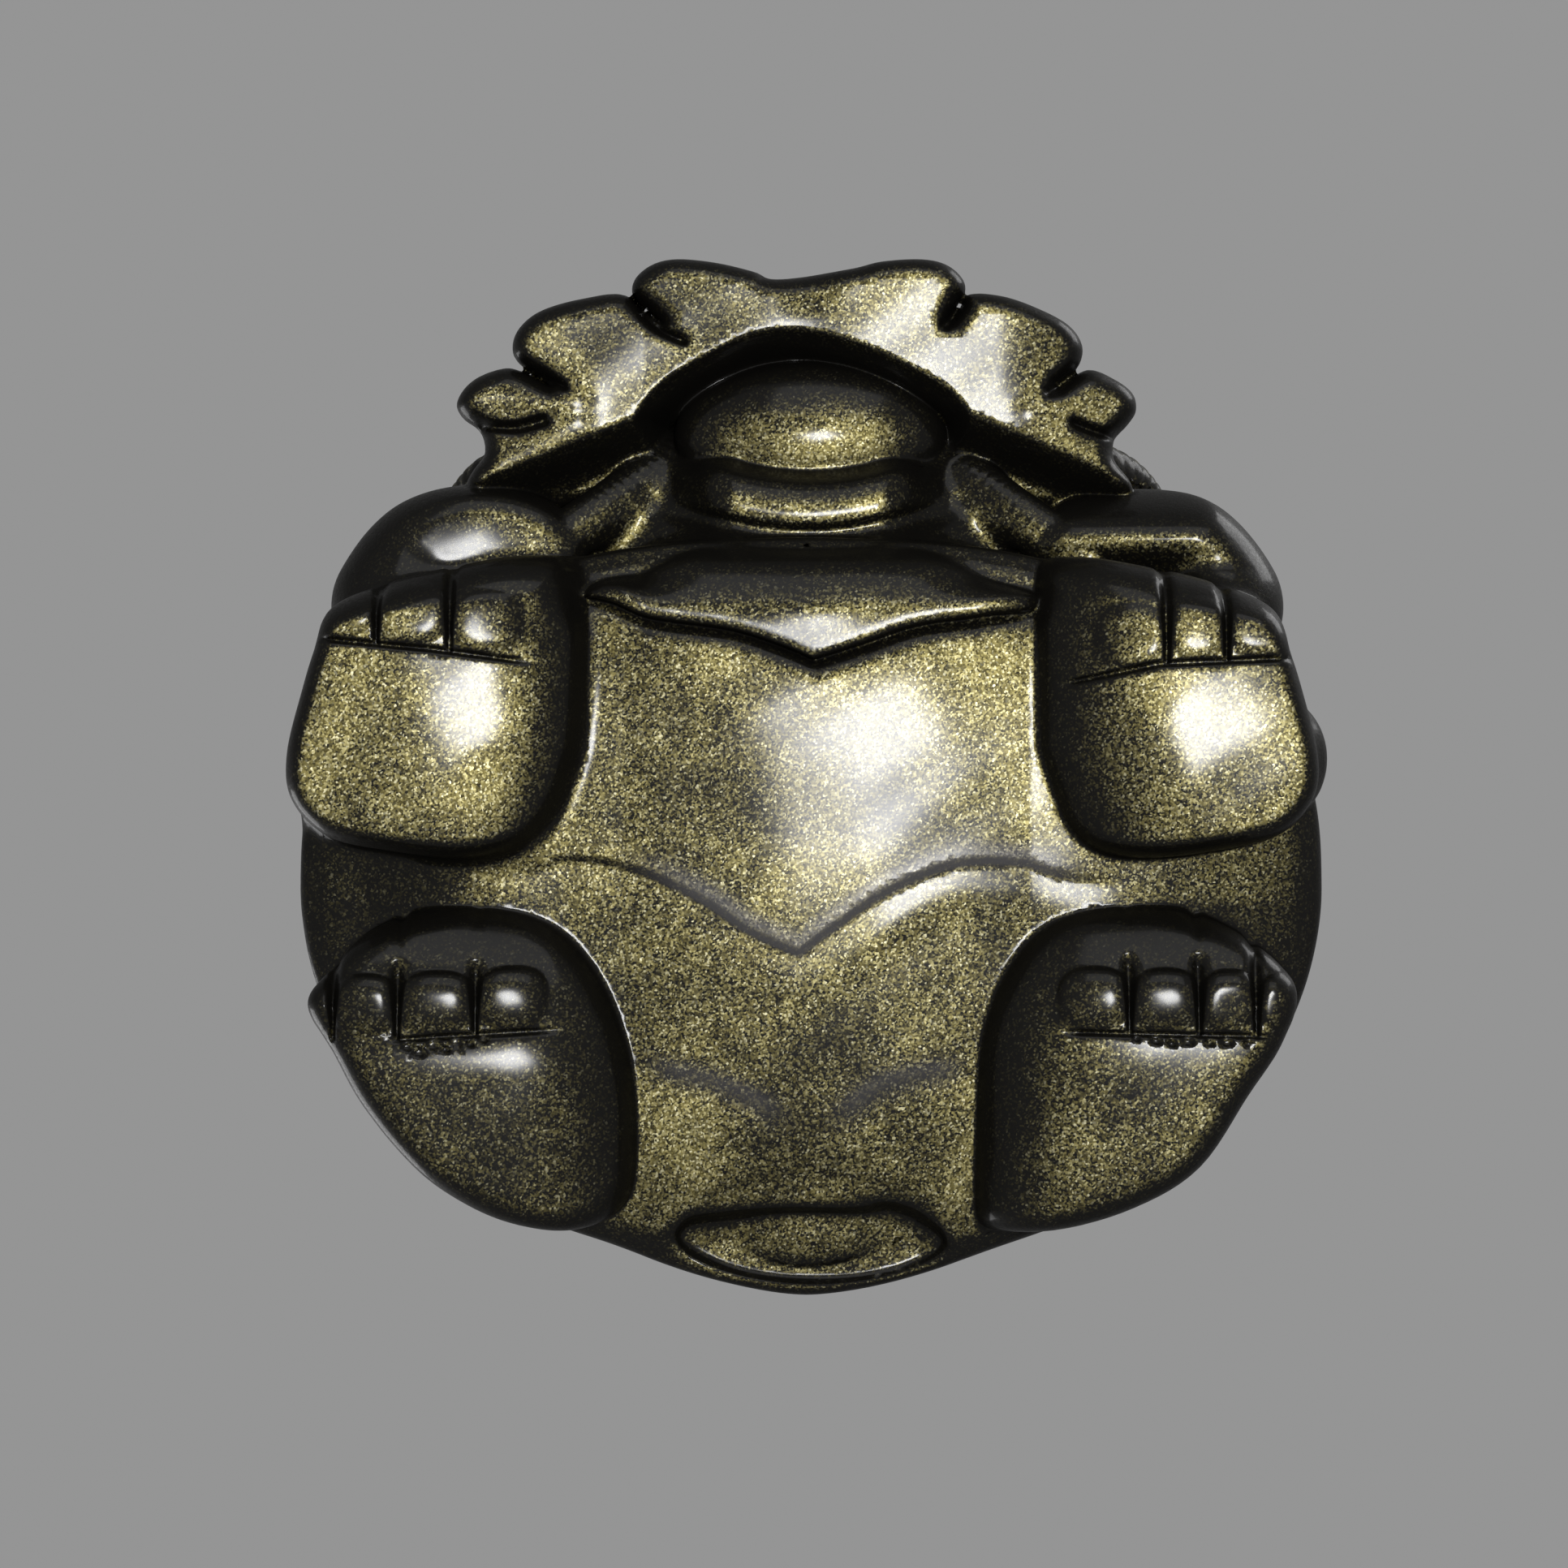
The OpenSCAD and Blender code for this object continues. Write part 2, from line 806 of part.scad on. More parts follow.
module tail() {
    color(olive_stone)
        carved()
            difference() {
                raw_tail();
                raw_plastron();
                both_sides() raw_rear_leg();
            }
}

module carapace() {
    color(olive_stone)
        carved()
            difference() {
                raw_shell();
                raw_plastron();
                raw_tail();
                raw_neck();
                raw_nape_mane();
                raw_head();
                both_sides() {
                    raw_horn();
                    raw_cheek_mane();
                    raw_front_leg();
                    raw_rear_leg();
                }
            }
}

carapace();
plastron();
tail();
other_side() front_leg_form();  // front_left_leg
front_leg_form();  // front_right_leg
other_side() rear_leg_form();  // rear_left_leg
rear_leg_form();  // rear_right_leg
neck();
nape_mane();
other_side() cheek_mane_form();  // cheek_mane_left
cheek_mane_form();  // cheek_mane_right
head();
lower_jaw();
throat_bulb();
beard_frill();
other_side() eye_form();  // eye_left
eye_form();  // eye_right
other_side() brow_form();  // brow_left
brow_form();  // brow_right
other_side() horn_form();  // horn_left
horn_form();  // horn_right
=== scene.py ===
"""The looks of the dragon turtle carving: one polished stone, cut into rounded forms.

Each carved form is a field, which is negative inside it. The fields are joined softly into one
solid, its skin is followed as a mesh, and the mesh is shared out among the forms, so that they
meet without a gap. Lengths are millimetres here and become metres when a mesh is made.
"""

import json
import math
from functools import partial

import bpy
import numpy as np
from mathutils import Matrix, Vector


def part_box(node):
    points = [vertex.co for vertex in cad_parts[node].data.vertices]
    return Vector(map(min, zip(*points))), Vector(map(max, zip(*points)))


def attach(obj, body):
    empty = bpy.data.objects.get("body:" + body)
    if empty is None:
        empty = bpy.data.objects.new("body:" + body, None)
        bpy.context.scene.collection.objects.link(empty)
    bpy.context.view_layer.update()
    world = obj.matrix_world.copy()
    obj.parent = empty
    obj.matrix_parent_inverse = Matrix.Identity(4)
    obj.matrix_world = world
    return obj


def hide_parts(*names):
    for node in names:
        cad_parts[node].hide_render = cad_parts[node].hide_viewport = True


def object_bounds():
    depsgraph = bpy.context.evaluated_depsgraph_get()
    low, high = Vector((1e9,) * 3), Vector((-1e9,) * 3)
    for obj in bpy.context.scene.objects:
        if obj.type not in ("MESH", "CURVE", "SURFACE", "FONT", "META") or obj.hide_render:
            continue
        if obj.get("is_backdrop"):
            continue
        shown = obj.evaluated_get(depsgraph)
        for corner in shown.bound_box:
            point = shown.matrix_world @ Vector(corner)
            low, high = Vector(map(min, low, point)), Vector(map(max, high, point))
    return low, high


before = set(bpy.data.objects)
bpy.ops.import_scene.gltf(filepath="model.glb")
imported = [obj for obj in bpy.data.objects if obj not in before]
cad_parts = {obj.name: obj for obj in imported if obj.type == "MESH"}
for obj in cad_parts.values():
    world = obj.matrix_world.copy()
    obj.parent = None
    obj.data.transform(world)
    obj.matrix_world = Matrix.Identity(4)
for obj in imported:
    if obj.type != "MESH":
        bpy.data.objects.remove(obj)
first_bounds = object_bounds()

MM = 0.001
FAR = 50.0
SLOT = "gold_sheen_obsidian"


# Soft arithmetic on fields

def lerp(a, b, t):
    return a + (b - a) * t


def ramp(v, low, high):
    t = np.clip((v - low) / (high - low), 0.0, 1.0)
    return t * t * (3.0 - 2.0 * t)


def bump(v, width):
    return np.exp(-((v / width) ** 2))


def join(a, b, soft):
    h = np.maximum(soft - np.abs(a - b), 0.0) / soft
    return np.minimum(a, b) - h * h * soft / 4.0


def meet(a, b, soft):
    return -join(-a, -b, soft)


def egg(p, centre, radii):
    q = [(v - c) / r for v, c, r in zip(p, centre, radii)]
    near = np.sqrt(q[0] ** 2 + q[1] ** 2 + q[2] ** 2) + 1e-9
    steep = np.sqrt(sum((v / r) ** 2 for v, r in zip(q, radii))) + 1e-9
    return near * (near - 1.0) / steep


def join_all(fields, soft):
    d = fields[0]
    for other in fields[1:]:
        d = join(d, other, soft)
    return d


def eggs(p, shapes, soft):
    return join_all([egg(p, *shape) for shape in shapes], soft)


def pillar(x, y, middle, half, scale):
    """An upright pillar, oval in plan."""
    u, v = (x - middle[0]) / half[0], (y - middle[1]) / half[1]
    return (np.sqrt(u**2 + v**2) - 1.0) * scale


def rounded(q, rise, w, h):
    """An outline rounded into a level face, by w across and h up."""
    a = np.maximum(1.0 + q / w, 0.0)
    b = np.maximum(1.0 - rise / h, 0.0)
    return (np.sqrt(a * a + b * b) - 1.0) * np.minimum(w, h)


def unit(v):
    return v / np.maximum(np.linalg.norm(v, axis=1), 1e-9)[:, None]


# Smooth lines through a few points, and the distance to them

def curve(points, closed=False, steps=6):
    """A smooth line through the points. A point given twice in a row is a corner."""
    pts = np.array(points, float)
    count = len(pts)
    out = []
    for i in range(count if closed else count - 1):
        a, b = pts[i], pts[(i + 1) % count]
        if np.allclose(a, b):
            continue
        before = pts[(i - 1) % count] if closed or i > 0 else a
        after = pts[(i + 2) % count] if closed or i + 2 < count else b
        t = (np.arange(steps) / steps)[:, None]
        lead, trail = (b - before) / 2.0, (after - a) / 2.0
        out.append(
            (2 * t**3 - 3 * t**2 + 1) * a
            + (t**3 - 2 * t**2 + t) * lead
            + (3 * t**2 - 2 * t**3) * b
            + (t**3 - t**2) * trail
        )
    if not closed:
        out.append(pts[-1:])
    return np.concatenate(out)


class Plan:
    """The distance to drawn lines, kept on a fine raster. It is negative inside a closed outline."""

    def __init__(self, lines, closed=False, pitch=0.2, margin=5.0):
        self.pitch = pitch
        every = np.concatenate(lines)
        self.low = every.min(axis=0) - margin
        size = np.ceil((every.max(axis=0) + margin - self.low) / pitch).astype(int) + 1
        u = (self.low[0] + pitch * np.arange(size[0]))[:, None]
        v = (self.low[1] + pitch * np.arange(size[1]))[None, :]
        best = np.full(size, np.inf)
        inside = np.zeros(size, bool)
        for line in lines:
            ends = np.roll(line, -1, axis=0) if closed else line[1:]
            for a, b in zip(line, ends):
                step = b - a
                t = ((u - a[0]) * step[0] + (v - a[1]) * step[1]) / max(step @ step, 1e-12)
                t = np.clip(t, 0.0, 1.0)
                gap = (u - a[0] - t * step[0]) ** 2 + (v - a[1] - t * step[1]) ** 2
                best = np.minimum(best, gap)
                if closed and a[1] != b[1]:
                    across = (a[1] > v) != (b[1] > v)
                    inside ^= across & (u < step[0] * (v - a[1]) / step[1] + a[0])
        best = np.sqrt(best)
        self.raster = np.where(inside, -best, best)

    def __call__(self, u, v):
        fu = (u - self.low[0]) / self.pitch
        fv = (v - self.low[1]) / self.pitch
        cu = np.clip(fu, 0.0, self.raster.shape[0] - 1.001)
        cv = np.clip(fv, 0.0, self.raster.shape[1] - 1.001)
        i, j = cu.astype(int), cv.astype(int)
        s, t = cu - i, cv - j
        r = self.raster
        value = (r[i, j] * (1 - s) + r[i + 1, j] * s) * (1 - t)
        value = value + (r[i, j + 1] * (1 - s) + r[i + 1, j + 1] * s) * t
        return value + np.hypot(fu - cu, fv - cv) * self.pitch


class Edge:
    """A line that crosses the stone from side to side: how far behind it a point lies."""

    def __init__(self, points):
        line = curve(points, steps=8)
        self.x, self.y = line[:, 0], line[:, 1]
        slope = np.gradient(self.y, self.x)
        self.lean = 1.0 / np.sqrt(1.0 + slope**2)

    def __call__(self, x, y):
        return (y - np.interp(x, self.x, self.y)) * np.interp(x, self.x, self.lean)


class Lock:
    """A tapering, bending strand through beads (x, y, z, radius), with cuts along it like hair."""

    # The cuts fade out towards the strand's sides, in shares of its radius, and where it gets thin
    SIDE_FADE, THIN_FADE = (0.95, 0.6), (1.0, 2.4)

    def __init__(self, beads, cuts=0, depth=0.0, up=(0.0, 0.0, 1.0), flat=1.0):
        self.beads = curve(beads, steps=5)
        self.flat = flat
        self.cuts, self.depth = cuts, depth
        self.sides = unit(np.cross(np.gradient(self.beads[:, :3], axis=0), np.array(up, float)))

    def __call__(self, p):
        best = np.full(p[0].shape, FAR)
        side_of = np.zeros(p[0].shape)
        thick = np.ones(p[0].shape)
        for a, b, left, right in zip(self.beads, self.beads[1:], self.sides, self.sides[1:]):
            step = b[:3] - a[:3]
            rel = [p[i] - a[i] for i in range(3)]
            t = np.clip(sum(rel[i] * step[i] for i in range(3)) / (step @ step), 0.0, 1.0)
            off = [rel[i] - t * step[i] for i in range(3)]
            off[2] = off[2] * self.flat
            r = a[3] + t * (b[3] - a[3])
            d = np.sqrt(off[0] ** 2 + off[1] ** 2 + off[2] ** 2) - r
            near = d < best
            best = np.where(near, d, best)
            if self.cuts:
                u = sum(off[i] * (left[i] + t * (right[i] - left[i])) for i in range(3)) / r
                side_of = np.where(near, u, side_of)
                thick = np.where(near, r, thick)
        if not self.cuts:
            return best
        wave = 0.5 + 0.5 * np.cos(np.pi * (self.cuts * side_of + 1 + self.cuts % 2))
        depth = self.depth * wave**3 * ramp(np.abs(side_of), *self.SIDE_FADE)
        return best + depth * ramp(thick, *self.THIN_FADE)


# The shell: its rim in plan, its profile from the middle out, and its plates

SHELL_HALF_W = 43.0
SHELL_MID_Y = 9.8
SHELL_FRONT, SHELL_BACK = 29.6, 34.6
FRONT_POWER, SIDE_POWER, REAR_POWER = 2.5, 1.95, 1.66
PROFILE_R = 38.0
SHELL_PROFILE = [
    (-0.2, 7.5), (0.5, 7.5), (0.88, 7.7), (0.97, 8.5), (1.0, 9.6), (0.992, 11.6), (0.955, 13.6),
    (0.93, 15.6), (0.905, 19.5), (0.86, 24.8), (0.76, 31.3), (0.6, 37.4), (0.38, 41.5),
    (0.14, 43.3), (-0.2, 43.5),
]
SPINE_TIP, SPINE_WAIST = 0.27, 0.16
SPINE_LINES = [-0.86, -0.52, -0.16, 0.2, 0.52, 0.78]
PLATE_RING = 0.93
SIDE_ANGLES = [-62, -30, 3, 34, 62]
RIM_PLATES = 26
PLATE_CUT, PLATE_CUT_W = 0.75, 0.5
PLATE_SWELL, PLATE_SWELL_W = 0.5, 2.5
# The rings on each plate: how far in from its edge, and how deep
PLATE_RINGS, RING_W = [(2.3, 0.12), (3.9, 0.1)], 0.3
# The heights between which the plates begin, and how much higher that is over the tail
PLATES_FROM, TAIL_RISE = (11.4, 13.2), 2.0
# The hollow under the rear rim that the tail lies in: its middle and half sizes in plan, and its roof
SEAT_MIDDLE, SEAT_HALF, SEAT_ROOF = (0.5, 37.8), (12.5, 5.4), 9.4


def shell_share(x, y):
    front = y < SHELL_MID_Y
    power = np.where(front, FRONT_POWER, lerp(REAR_POWER, SIDE_POWER, ramp(np.abs(x), 14.0, 36.0)))
    reach = np.where(front, SHELL_FRONT, SHELL_BACK)
    u = np.abs(x) / SHELL_HALF_W
    v = np.abs(y - SHELL_MID_Y) / reach
    return (u**power + v**power + 1e-9) ** (1.0 / power)


def shell_point(angle, share):
    a = math.radians(angle)
    power = FRONT_POWER if math.sin(a) < 0 else SIDE_POWER
    reach = SHELL_FRONT if math.sin(a) < 0 else SHELL_BACK
    across = math.copysign(abs(math.cos(a)) ** (2 / power), math.cos(a))
    along = math.copysign(abs(math.sin(a)) ** (2 / power), math.sin(a))
    return (SHELL_HALF_W * share * across, SHELL_MID_Y + reach * share * along)


def spine_y(share):
    return SHELL_MID_Y + share * (SHELL_FRONT if share < 0 else SHELL_BACK)


def plate_lines():
    """The cuts between the plates on the dome, in plan."""
    lines = []
    tips = [(a + b) / 2 for a, b in zip(SPINE_LINES, SPINE_LINES[1:])]
    for side in (-1, 1):
        zigzag = []
        for i, share in enumerate(SPINE_LINES):
            zigzag.append((side * SPINE_WAIST * SHELL_HALF_W, spine_y(share)))
            if i < len(tips):
                zigzag.append((side * SPINE_TIP * SHELL_HALF_W, spine_y(tips[i])))
        lines.append(np.array(zigzag[:-1], float))
        for tip, angle in zip(tips, SIDE_ANGLES):
            x, y = shell_point(angle, PLATE_RING)
            lines.append(np.array([(side * SPINE_TIP * SHELL_HALF_W, spine_y(tip)), (side * x, y)]))
    for share in SPINE_LINES[:-1]:
        half = SPINE_WAIST * SHELL_HALF_W
        lines.append(np.array([(-half, spine_y(share)), (half, spine_y(share))]))
    return lines


shell_profile = Plan([curve([(u * PROFILE_R, z) for u, z in SHELL_PROFILE], steps=5)], closed=True)
shell_plates = Plan(plate_lines(), pitch=0.25)


def carapace(p):
    """The shell, with its plates cut in above the rim, and from further up over the tail."""
    x, y, z = p
    share = shell_share(x, y)
    out = share * PROFILE_R
    d = shell_profile(out, z)
    ring = np.abs(share - PLATE_RING) * PROFILE_R
    turn = np.arctan2(y - SHELL_MID_Y, x) * RIM_PLATES / (2 * math.pi)
    radial = np.abs(turn - np.round(turn)) * 2 * math.pi * PROFILE_R / RIM_PLATES
    on_dome = np.minimum(shell_plates(x, y), ring)
    on_rim = np.minimum(radial, ring)
    q = np.where(share < PLATE_RING, on_dome, on_rim)
    near_tail = ramp(y, 28.0, 34.0) * ramp(np.abs(x), 21.0, 16.0)
    high = ramp(z - TAIL_RISE * near_tail, *PLATES_FROM)
    cut = PLATE_CUT * bump(q, PLATE_CUT_W) - PLATE_SWELL * (1.0 - np.exp(-q / PLATE_SWELL_W))
    rings = sum(depth * bump(q - far_in, RING_W) for far_in, depth in PLATE_RINGS)
    d = d + high * (cut + rings)
    seat = pillar(x, y, SEAT_MIDDLE, SEAT_HALF, 8.0)
    return meet(d, -meet(seat, z - SEAT_ROOF, 0.8), 1.0)


# The feet, whose soles were measured one by one, and the legs above them

FRONT_LEFT_SOLE = [
    (-39.6, -13.7), (-34.6, -15.9), (-29.2, -17.2), (-23.9, -18.1), (-19.9, -17.4), (-18.4, -12.1),
    (-18.4, -6.7), (-19.0, -1.3), (-20.9, 3.7), (-24.2, 6.4), (-28.6, 7.3), (-34.6, 6.7),
    (-40.0, 5.4), (-42.9, 2.4), (-43.3, -1.3), (-42.0, -6.7), (-41.0, -10.0),
]
REAR_LEFT_SOLE = [
    (-41.5, 19.5), (-40.0, 16.8), (-36.6, 13.4), (-30.6, 11.1), (-25.2, 10.8), (-21.2, 12.8),
    (-17.8, 16.8), (-15.2, 22.2), (-13.8, 27.5), (-13.8, 32.2), (-14.8, 35.6), (-17.2, 37.7),
    (-21.2, 38.3), (-26.6, 36.9), (-31.9, 33.6), (-36.6, 28.2), (-39.3, 23.5),
]
REAR_RIGHT_SOLE = [
    (40.5, 18.8), (39.2, 16.1), (35.2, 13.1), (29.1, 10.8), (23.8, 10.4), (19.7, 12.1),
    (16.4, 16.1), (13.7, 21.5), (12.7, 26.9), (12.4, 32.2), (13.0, 36.3), (15.0, 38.3),
    (20.4, 38.3), (27.1, 36.3), (32.5, 32.9), (36.5, 26.9), (39.2, 22.8),
]
RIGHT_SOLE_SHIFT = 1.0
FRONT_RIGHT_SOLE = [(-x - RIGHT_SOLE_SHIFT, y) for x, y in FRONT_LEFT_SOLE]


def closed_plan(points):
    return Plan([curve(points, closed=True)], closed=True)


# Each foot: its side and outline, the line behind its toes, the cuts between the toes as x places,
# how far forward the cuts run, how thick the toes' pads are and how much thicker in front, and the
# chips broken out below the line, as x place, how far below the line, and size.
# A front foot has its sole: where it is lowest, how flat it is across and along, and how far its
# inner side rises, and then how narrow the shoulder above it is.
# A rear foot has how much its sole curls up towards its toes.
FEET = {
    "front_left": {
        "side": -1,
        "plan": closed_plan(FRONT_LEFT_SOLE),
        "line": [(-40.6, -10.9), (-31.0, -10.0), (-22.5, -8.9)],
        "cuts": [-35.6, -29.6],
        "cut_front": -16.0,
        "pads": (0.3, 0.0),
        "chips": [],
        "sole": (40.0, -6.0, 460.0, 300.0, 5.2),
        "narrow": 0.014,
    },
    "front_right": {
        "side": 1,
        "plan": closed_plan(FRONT_RIGHT_SOLE),
        "line": [(21.0, -7.2), (29.0, -8.8), (40.5, -9.3)],
        "cuts": [29.6, 34.5],
        "cut_front": -15.6,
        "pads": (0.3, 0.0),
        "chips": [],
        "sole": (39.8, -2.9, 260.0, 220.0, 7.4),
        "narrow": 0.3,
    },
    "rear_left": {
        "side": -1,
        "plan": closed_plan(REAR_LEFT_SOLE),
        "line": [(-34.6, 22.2), (-20.5, 21.4)],
        "cuts": [-39.2, -33.9, -27.5],
        "cut_front": 16.2,
        "pads": (0.6, 0.45),
        "chips": [(-33.0, 0.6, 0.5), (-32.0, 1.1, 0.55), (-30.9, 0.6, 0.6), (-29.9, 1.0, 0.4),
                  (-29.0, 0.5, 0.6), (-27.9, 0.7, 0.35), (-26.8, 0.4, 0.4)],
        "curl": 0.02,
    },
    "rear_right": {
        "side": 1,
        "plan": closed_plan(REAR_RIGHT_SOLE),
        "line": [(21.1, 21.6), (38.9, 21.9)],
        "cuts": [26.5, 32.2, 36.9],
        "cut_front": 15.6,
        "pads": (0.6, 0.45),
        "chips": [(27.0, 0.4, 0.3), (28.6, 0.5, 0.45), (29.9, 0.7, 0.4), (31.2, 0.5, 0.5),
                  (33.0, 0.6, 0.35), (34.4, 0.5, 0.5), (36.2, 0.6, 0.4)],
        "curl": 0.004,
    },
}
TOE_HALF, TOE_REACH, TOE_GAP = 3.0, 2.6, 0.3
LINE_DEPTH, LINE_W = 0.45, 0.2
CHIP_DEPTH, CHIP_STRETCH = 0.3, 1.5
# How deep a cut between toes is in the sole, and how deep and wide it notches the foot's front edge
CUT_DEPTH, NOTCH_DEPTH, NOTCH_W = 0.7, 0.4, 0.5
# The lowest place of any sole, of a front foot's and of a rear foot's
LOWEST, FRONT_LOW, REAR_LOW = 0.03, 0.35, 0.12
# How far the edge of a front foot is rounded across and up, behind and in front, and a rear foot's
FRONT_ROUND_W, FRONT_ROUND_H = (1.7, 3.8), (3.0, 5.0)
REAR_ROUND_W, REAR_ROUND_H = 2.3, 2.8
FRONT_PAW_TOP, REAR_PAW_TOP = 11.5, 10.5
REAR_RISE = 8.5


def toe_cuts(facts, x, y):
    """How deep the line behind the toes, the cuts between them and the chips along the line go."""
    xs, ys = zip(*facts["line"])
    line_y = np.interp(x, xs, ys)
    along = ramp(x, xs[0] - 0.5, xs[0] + 1.5) * ramp(x, xs[-1] + 0.5, xs[-1] - 2.5)
    depth = LINE_DEPTH * bump(y - line_y, LINE_W) * along
    for place, below, size in facts["chips"]:
        near = np.hypot((x - place) / CHIP_STRETCH, y - line_y - below)
        depth = np.maximum(depth, CHIP_DEPTH * ramp(near, size, 0.35 * size))
    front = facts["cut_front"]
    for place in facts["cuts"]:
        wide = 0.18 + 0.34 * ramp(y, line_y - 1.0, front)
        reach = ramp(y, front - 0.8, front + 0.8) * ramp(y, line_y + 0.3, line_y - 0.3)
        depth = np.maximum(depth, CUT_DEPTH * bump(x - place, wide) * reach)
    return depth


def toes(facts, x, y):
    """How far the flat pad of each toe stands out, in front of the line."""
    xs, ys = zip(*facts["line"])
    thick, lean = facts["pads"]
    cuts = sorted(facts["cuts"])
    pairs = list(zip(cuts, cuts[1:]))
    middles = [cuts[0] - TOE_HALF] + [(a + b) / 2 for a, b in pairs] + [cuts[-1] + TOE_HALF]
    halves = [TOE_HALF] + [(b - a) / 2 for a, b in pairs] + [TOE_HALF]
    out = np.zeros(x.shape)
    for middle, half in zip(middles, halves):
        back = float(np.interp(middle, xs, ys))
        u = (x - middle) / half
        v = (back - TOE_GAP - TOE_REACH - y) / TOE_REACH
        r = np.minimum((np.abs(u) ** 2.6 + np.abs(v) ** 2.6) ** 0.77, 1.0)
        pad = thick * (1.0 - 0.25 * r - 0.75 * r**3) * (1.0 + lean * np.clip(v, -1.0, 1.0))
        out = np.maximum(out, pad)
    return out


def fall(share):
    """A level face that bends away gently and ends upright, from 0 to 1."""
    return 1.0 - np.cbrt(1.0 - np.clip(share, 0.0, 0.995))


def foot(facts, p, sole, w, h, top):
    """A foot: its outline, rounded into the sole by w across and h up, with pads and cuts for toes."""
    x, y, z = p
    in_front = ramp(y, facts["line"][0][1] - 1.0, facts["cut_front"]) * ramp(z, 9.0, 6.0)
    notches = sum(NOTCH_DEPTH * bump(x - place, NOTCH_W) for place in facts["cuts"])
    q = facts["plan"](x, y) + in_front * notches
    low = sole - toes(facts, x, y) + toe_cuts(facts, x, y)
    return meet(meet(rounded(q, z - low, w, h), LOWEST - z, 0.1), z - top, 3.0)


def front_leg(facts, p):
    """The paw, and above it the elbow, the upper leg and the shoulder."""
    x, y, z = p
    out = x * facts["side"]
    middle_x, middle_y, flat_x, flat_y, inner_rise = facts["sole"]
    bend = (34.4 - out + 0.35 * np.maximum(y + 2.0, 0.0)) / 16.0
    sole = FRONT_LOW + (out - middle_x) ** 2 / flat_x + (y - middle_y) ** 2 / flat_y
    sole = sole + inner_rise * fall(np.maximum(bend, 0.0) ** 3)
    front = ramp(y, -10.5, -15.0)
    w, h = lerp(*FRONT_ROUND_W, front), lerp(*FRONT_ROUND_H, front)
    paw = foot(facts, p, sole, w, h, FRONT_PAW_TOP)
    q = (out, y, z)
    upper = eggs(q, [((35.4, -14.2, 16.6), (5.8, 6.2, 7.4)), ((28.0, -4.9, 16.0), (9.0, 10.0, 8.0))], 3.0)
    shoulder = egg(q, (28.5, -18.4, 16.5), (10.0, 6.4, 8.4))
    face = 10.0 + 0.005 * (out - 40.0) ** 2 + facts["narrow"] * (y + 19.8) ** 2
    shoulder = meet(shoulder, face - z, 1.0)
    elbow = egg(q, (39.5, -1.0, 8.0), (4.25, 5.3, 4.5))
    return join(join(paw, elbow, 0.8), join(upper, shoulder, 2.0), 1.2)


def rear_leg(facts, p):
    """The paw, and the thigh above it."""
    x, y, z = p
    out = x * facts["side"]
    forward = np.maximum((26.0 - y - 0.08 * (out - 27.0)) / 15.4, 0.0)
    inward = np.maximum((26.0 - out) / 12.6, 0.0)
    sole = REAR_LOW + (out - 38.0) ** 2 / 300.0 + (y - 27.0) ** 2 / 520.0
    sole = sole + REAR_RISE * fall(forward**3 + inward**3)
    sole = sole + facts["curl"] * np.clip(25.4 - y, 0.0, 3.8) ** 2
    paw = foot(facts, p, sole, REAR_ROUND_W, REAR_ROUND_H, REAR_PAW_TOP)
    thigh = egg((out, y, z), (26.0, 22.8, 11.0), (12.6, 9.8, 5.6))
    return join(paw, thigh, 1.5)


# The belly plate: a nearly flat face with three pointed steps across it

NECK_VEE = [
    (-30.0, -14.5), (-18.3, -14.2), (-13.3, -12.5), (-6.5, -11.5), (-2.4, -10.2), (0.5, -9.0),
    (0.5, -9.0), (4.4, -10.2), (9.1, -11.8), (13.9, -12.5), (17.2, -12.9), (30.0, -13.5),
]
MIDDLE_VEE = [
    (-45.0, 10.0), (-24.1, 8.5), (-20.0, 7.6), (-14.6, 8.5), (-9.2, 10.9), (-5.1, 13.6), (-0.7, 15.6),
    (-0.7, 15.6), (3.0, 12.9), (7.1, 10.2), (12.5, 8.1), (17.9, 8.0), (23.0, 9.2), (45.0, 11.0),
]
LOW_VEE = [
    (-20.0, 24.8), (-14.6, 25.1), (-10.5, 25.8), (-6.5, 27.1), (-0.7, 30.0), (-0.7, 30.0),
    (3.0, 28.8), (7.1, 26.4), (12.8, 25.4), (20.0, 25.2),
]
REAR_LIP = [
    (-24.0, 38.2), (-13.3, 38.0), (-9.7, 37.4), (-4.0, 36.9), (3.7, 36.8), (6.6, 36.3), (9.0, 36.9),
    (13.0, 38.6), (24.0, 38.4),
]
BELLY_LOW, BELLY_ROOF = 4.8, 10.0
# How deep the middle and the rearmost steps are, and how high the ridge before the tail is
MIDDLE_STEP, LOW_STEP, TAIL_RIDGE = 0.5, 0.2, 0.14

neck_vee, middle_vee, low_vee, rear_lip = [Edge(v) for v in (NECK_VEE, MIDDLE_VEE, LOW_VEE, REAR_LIP)]


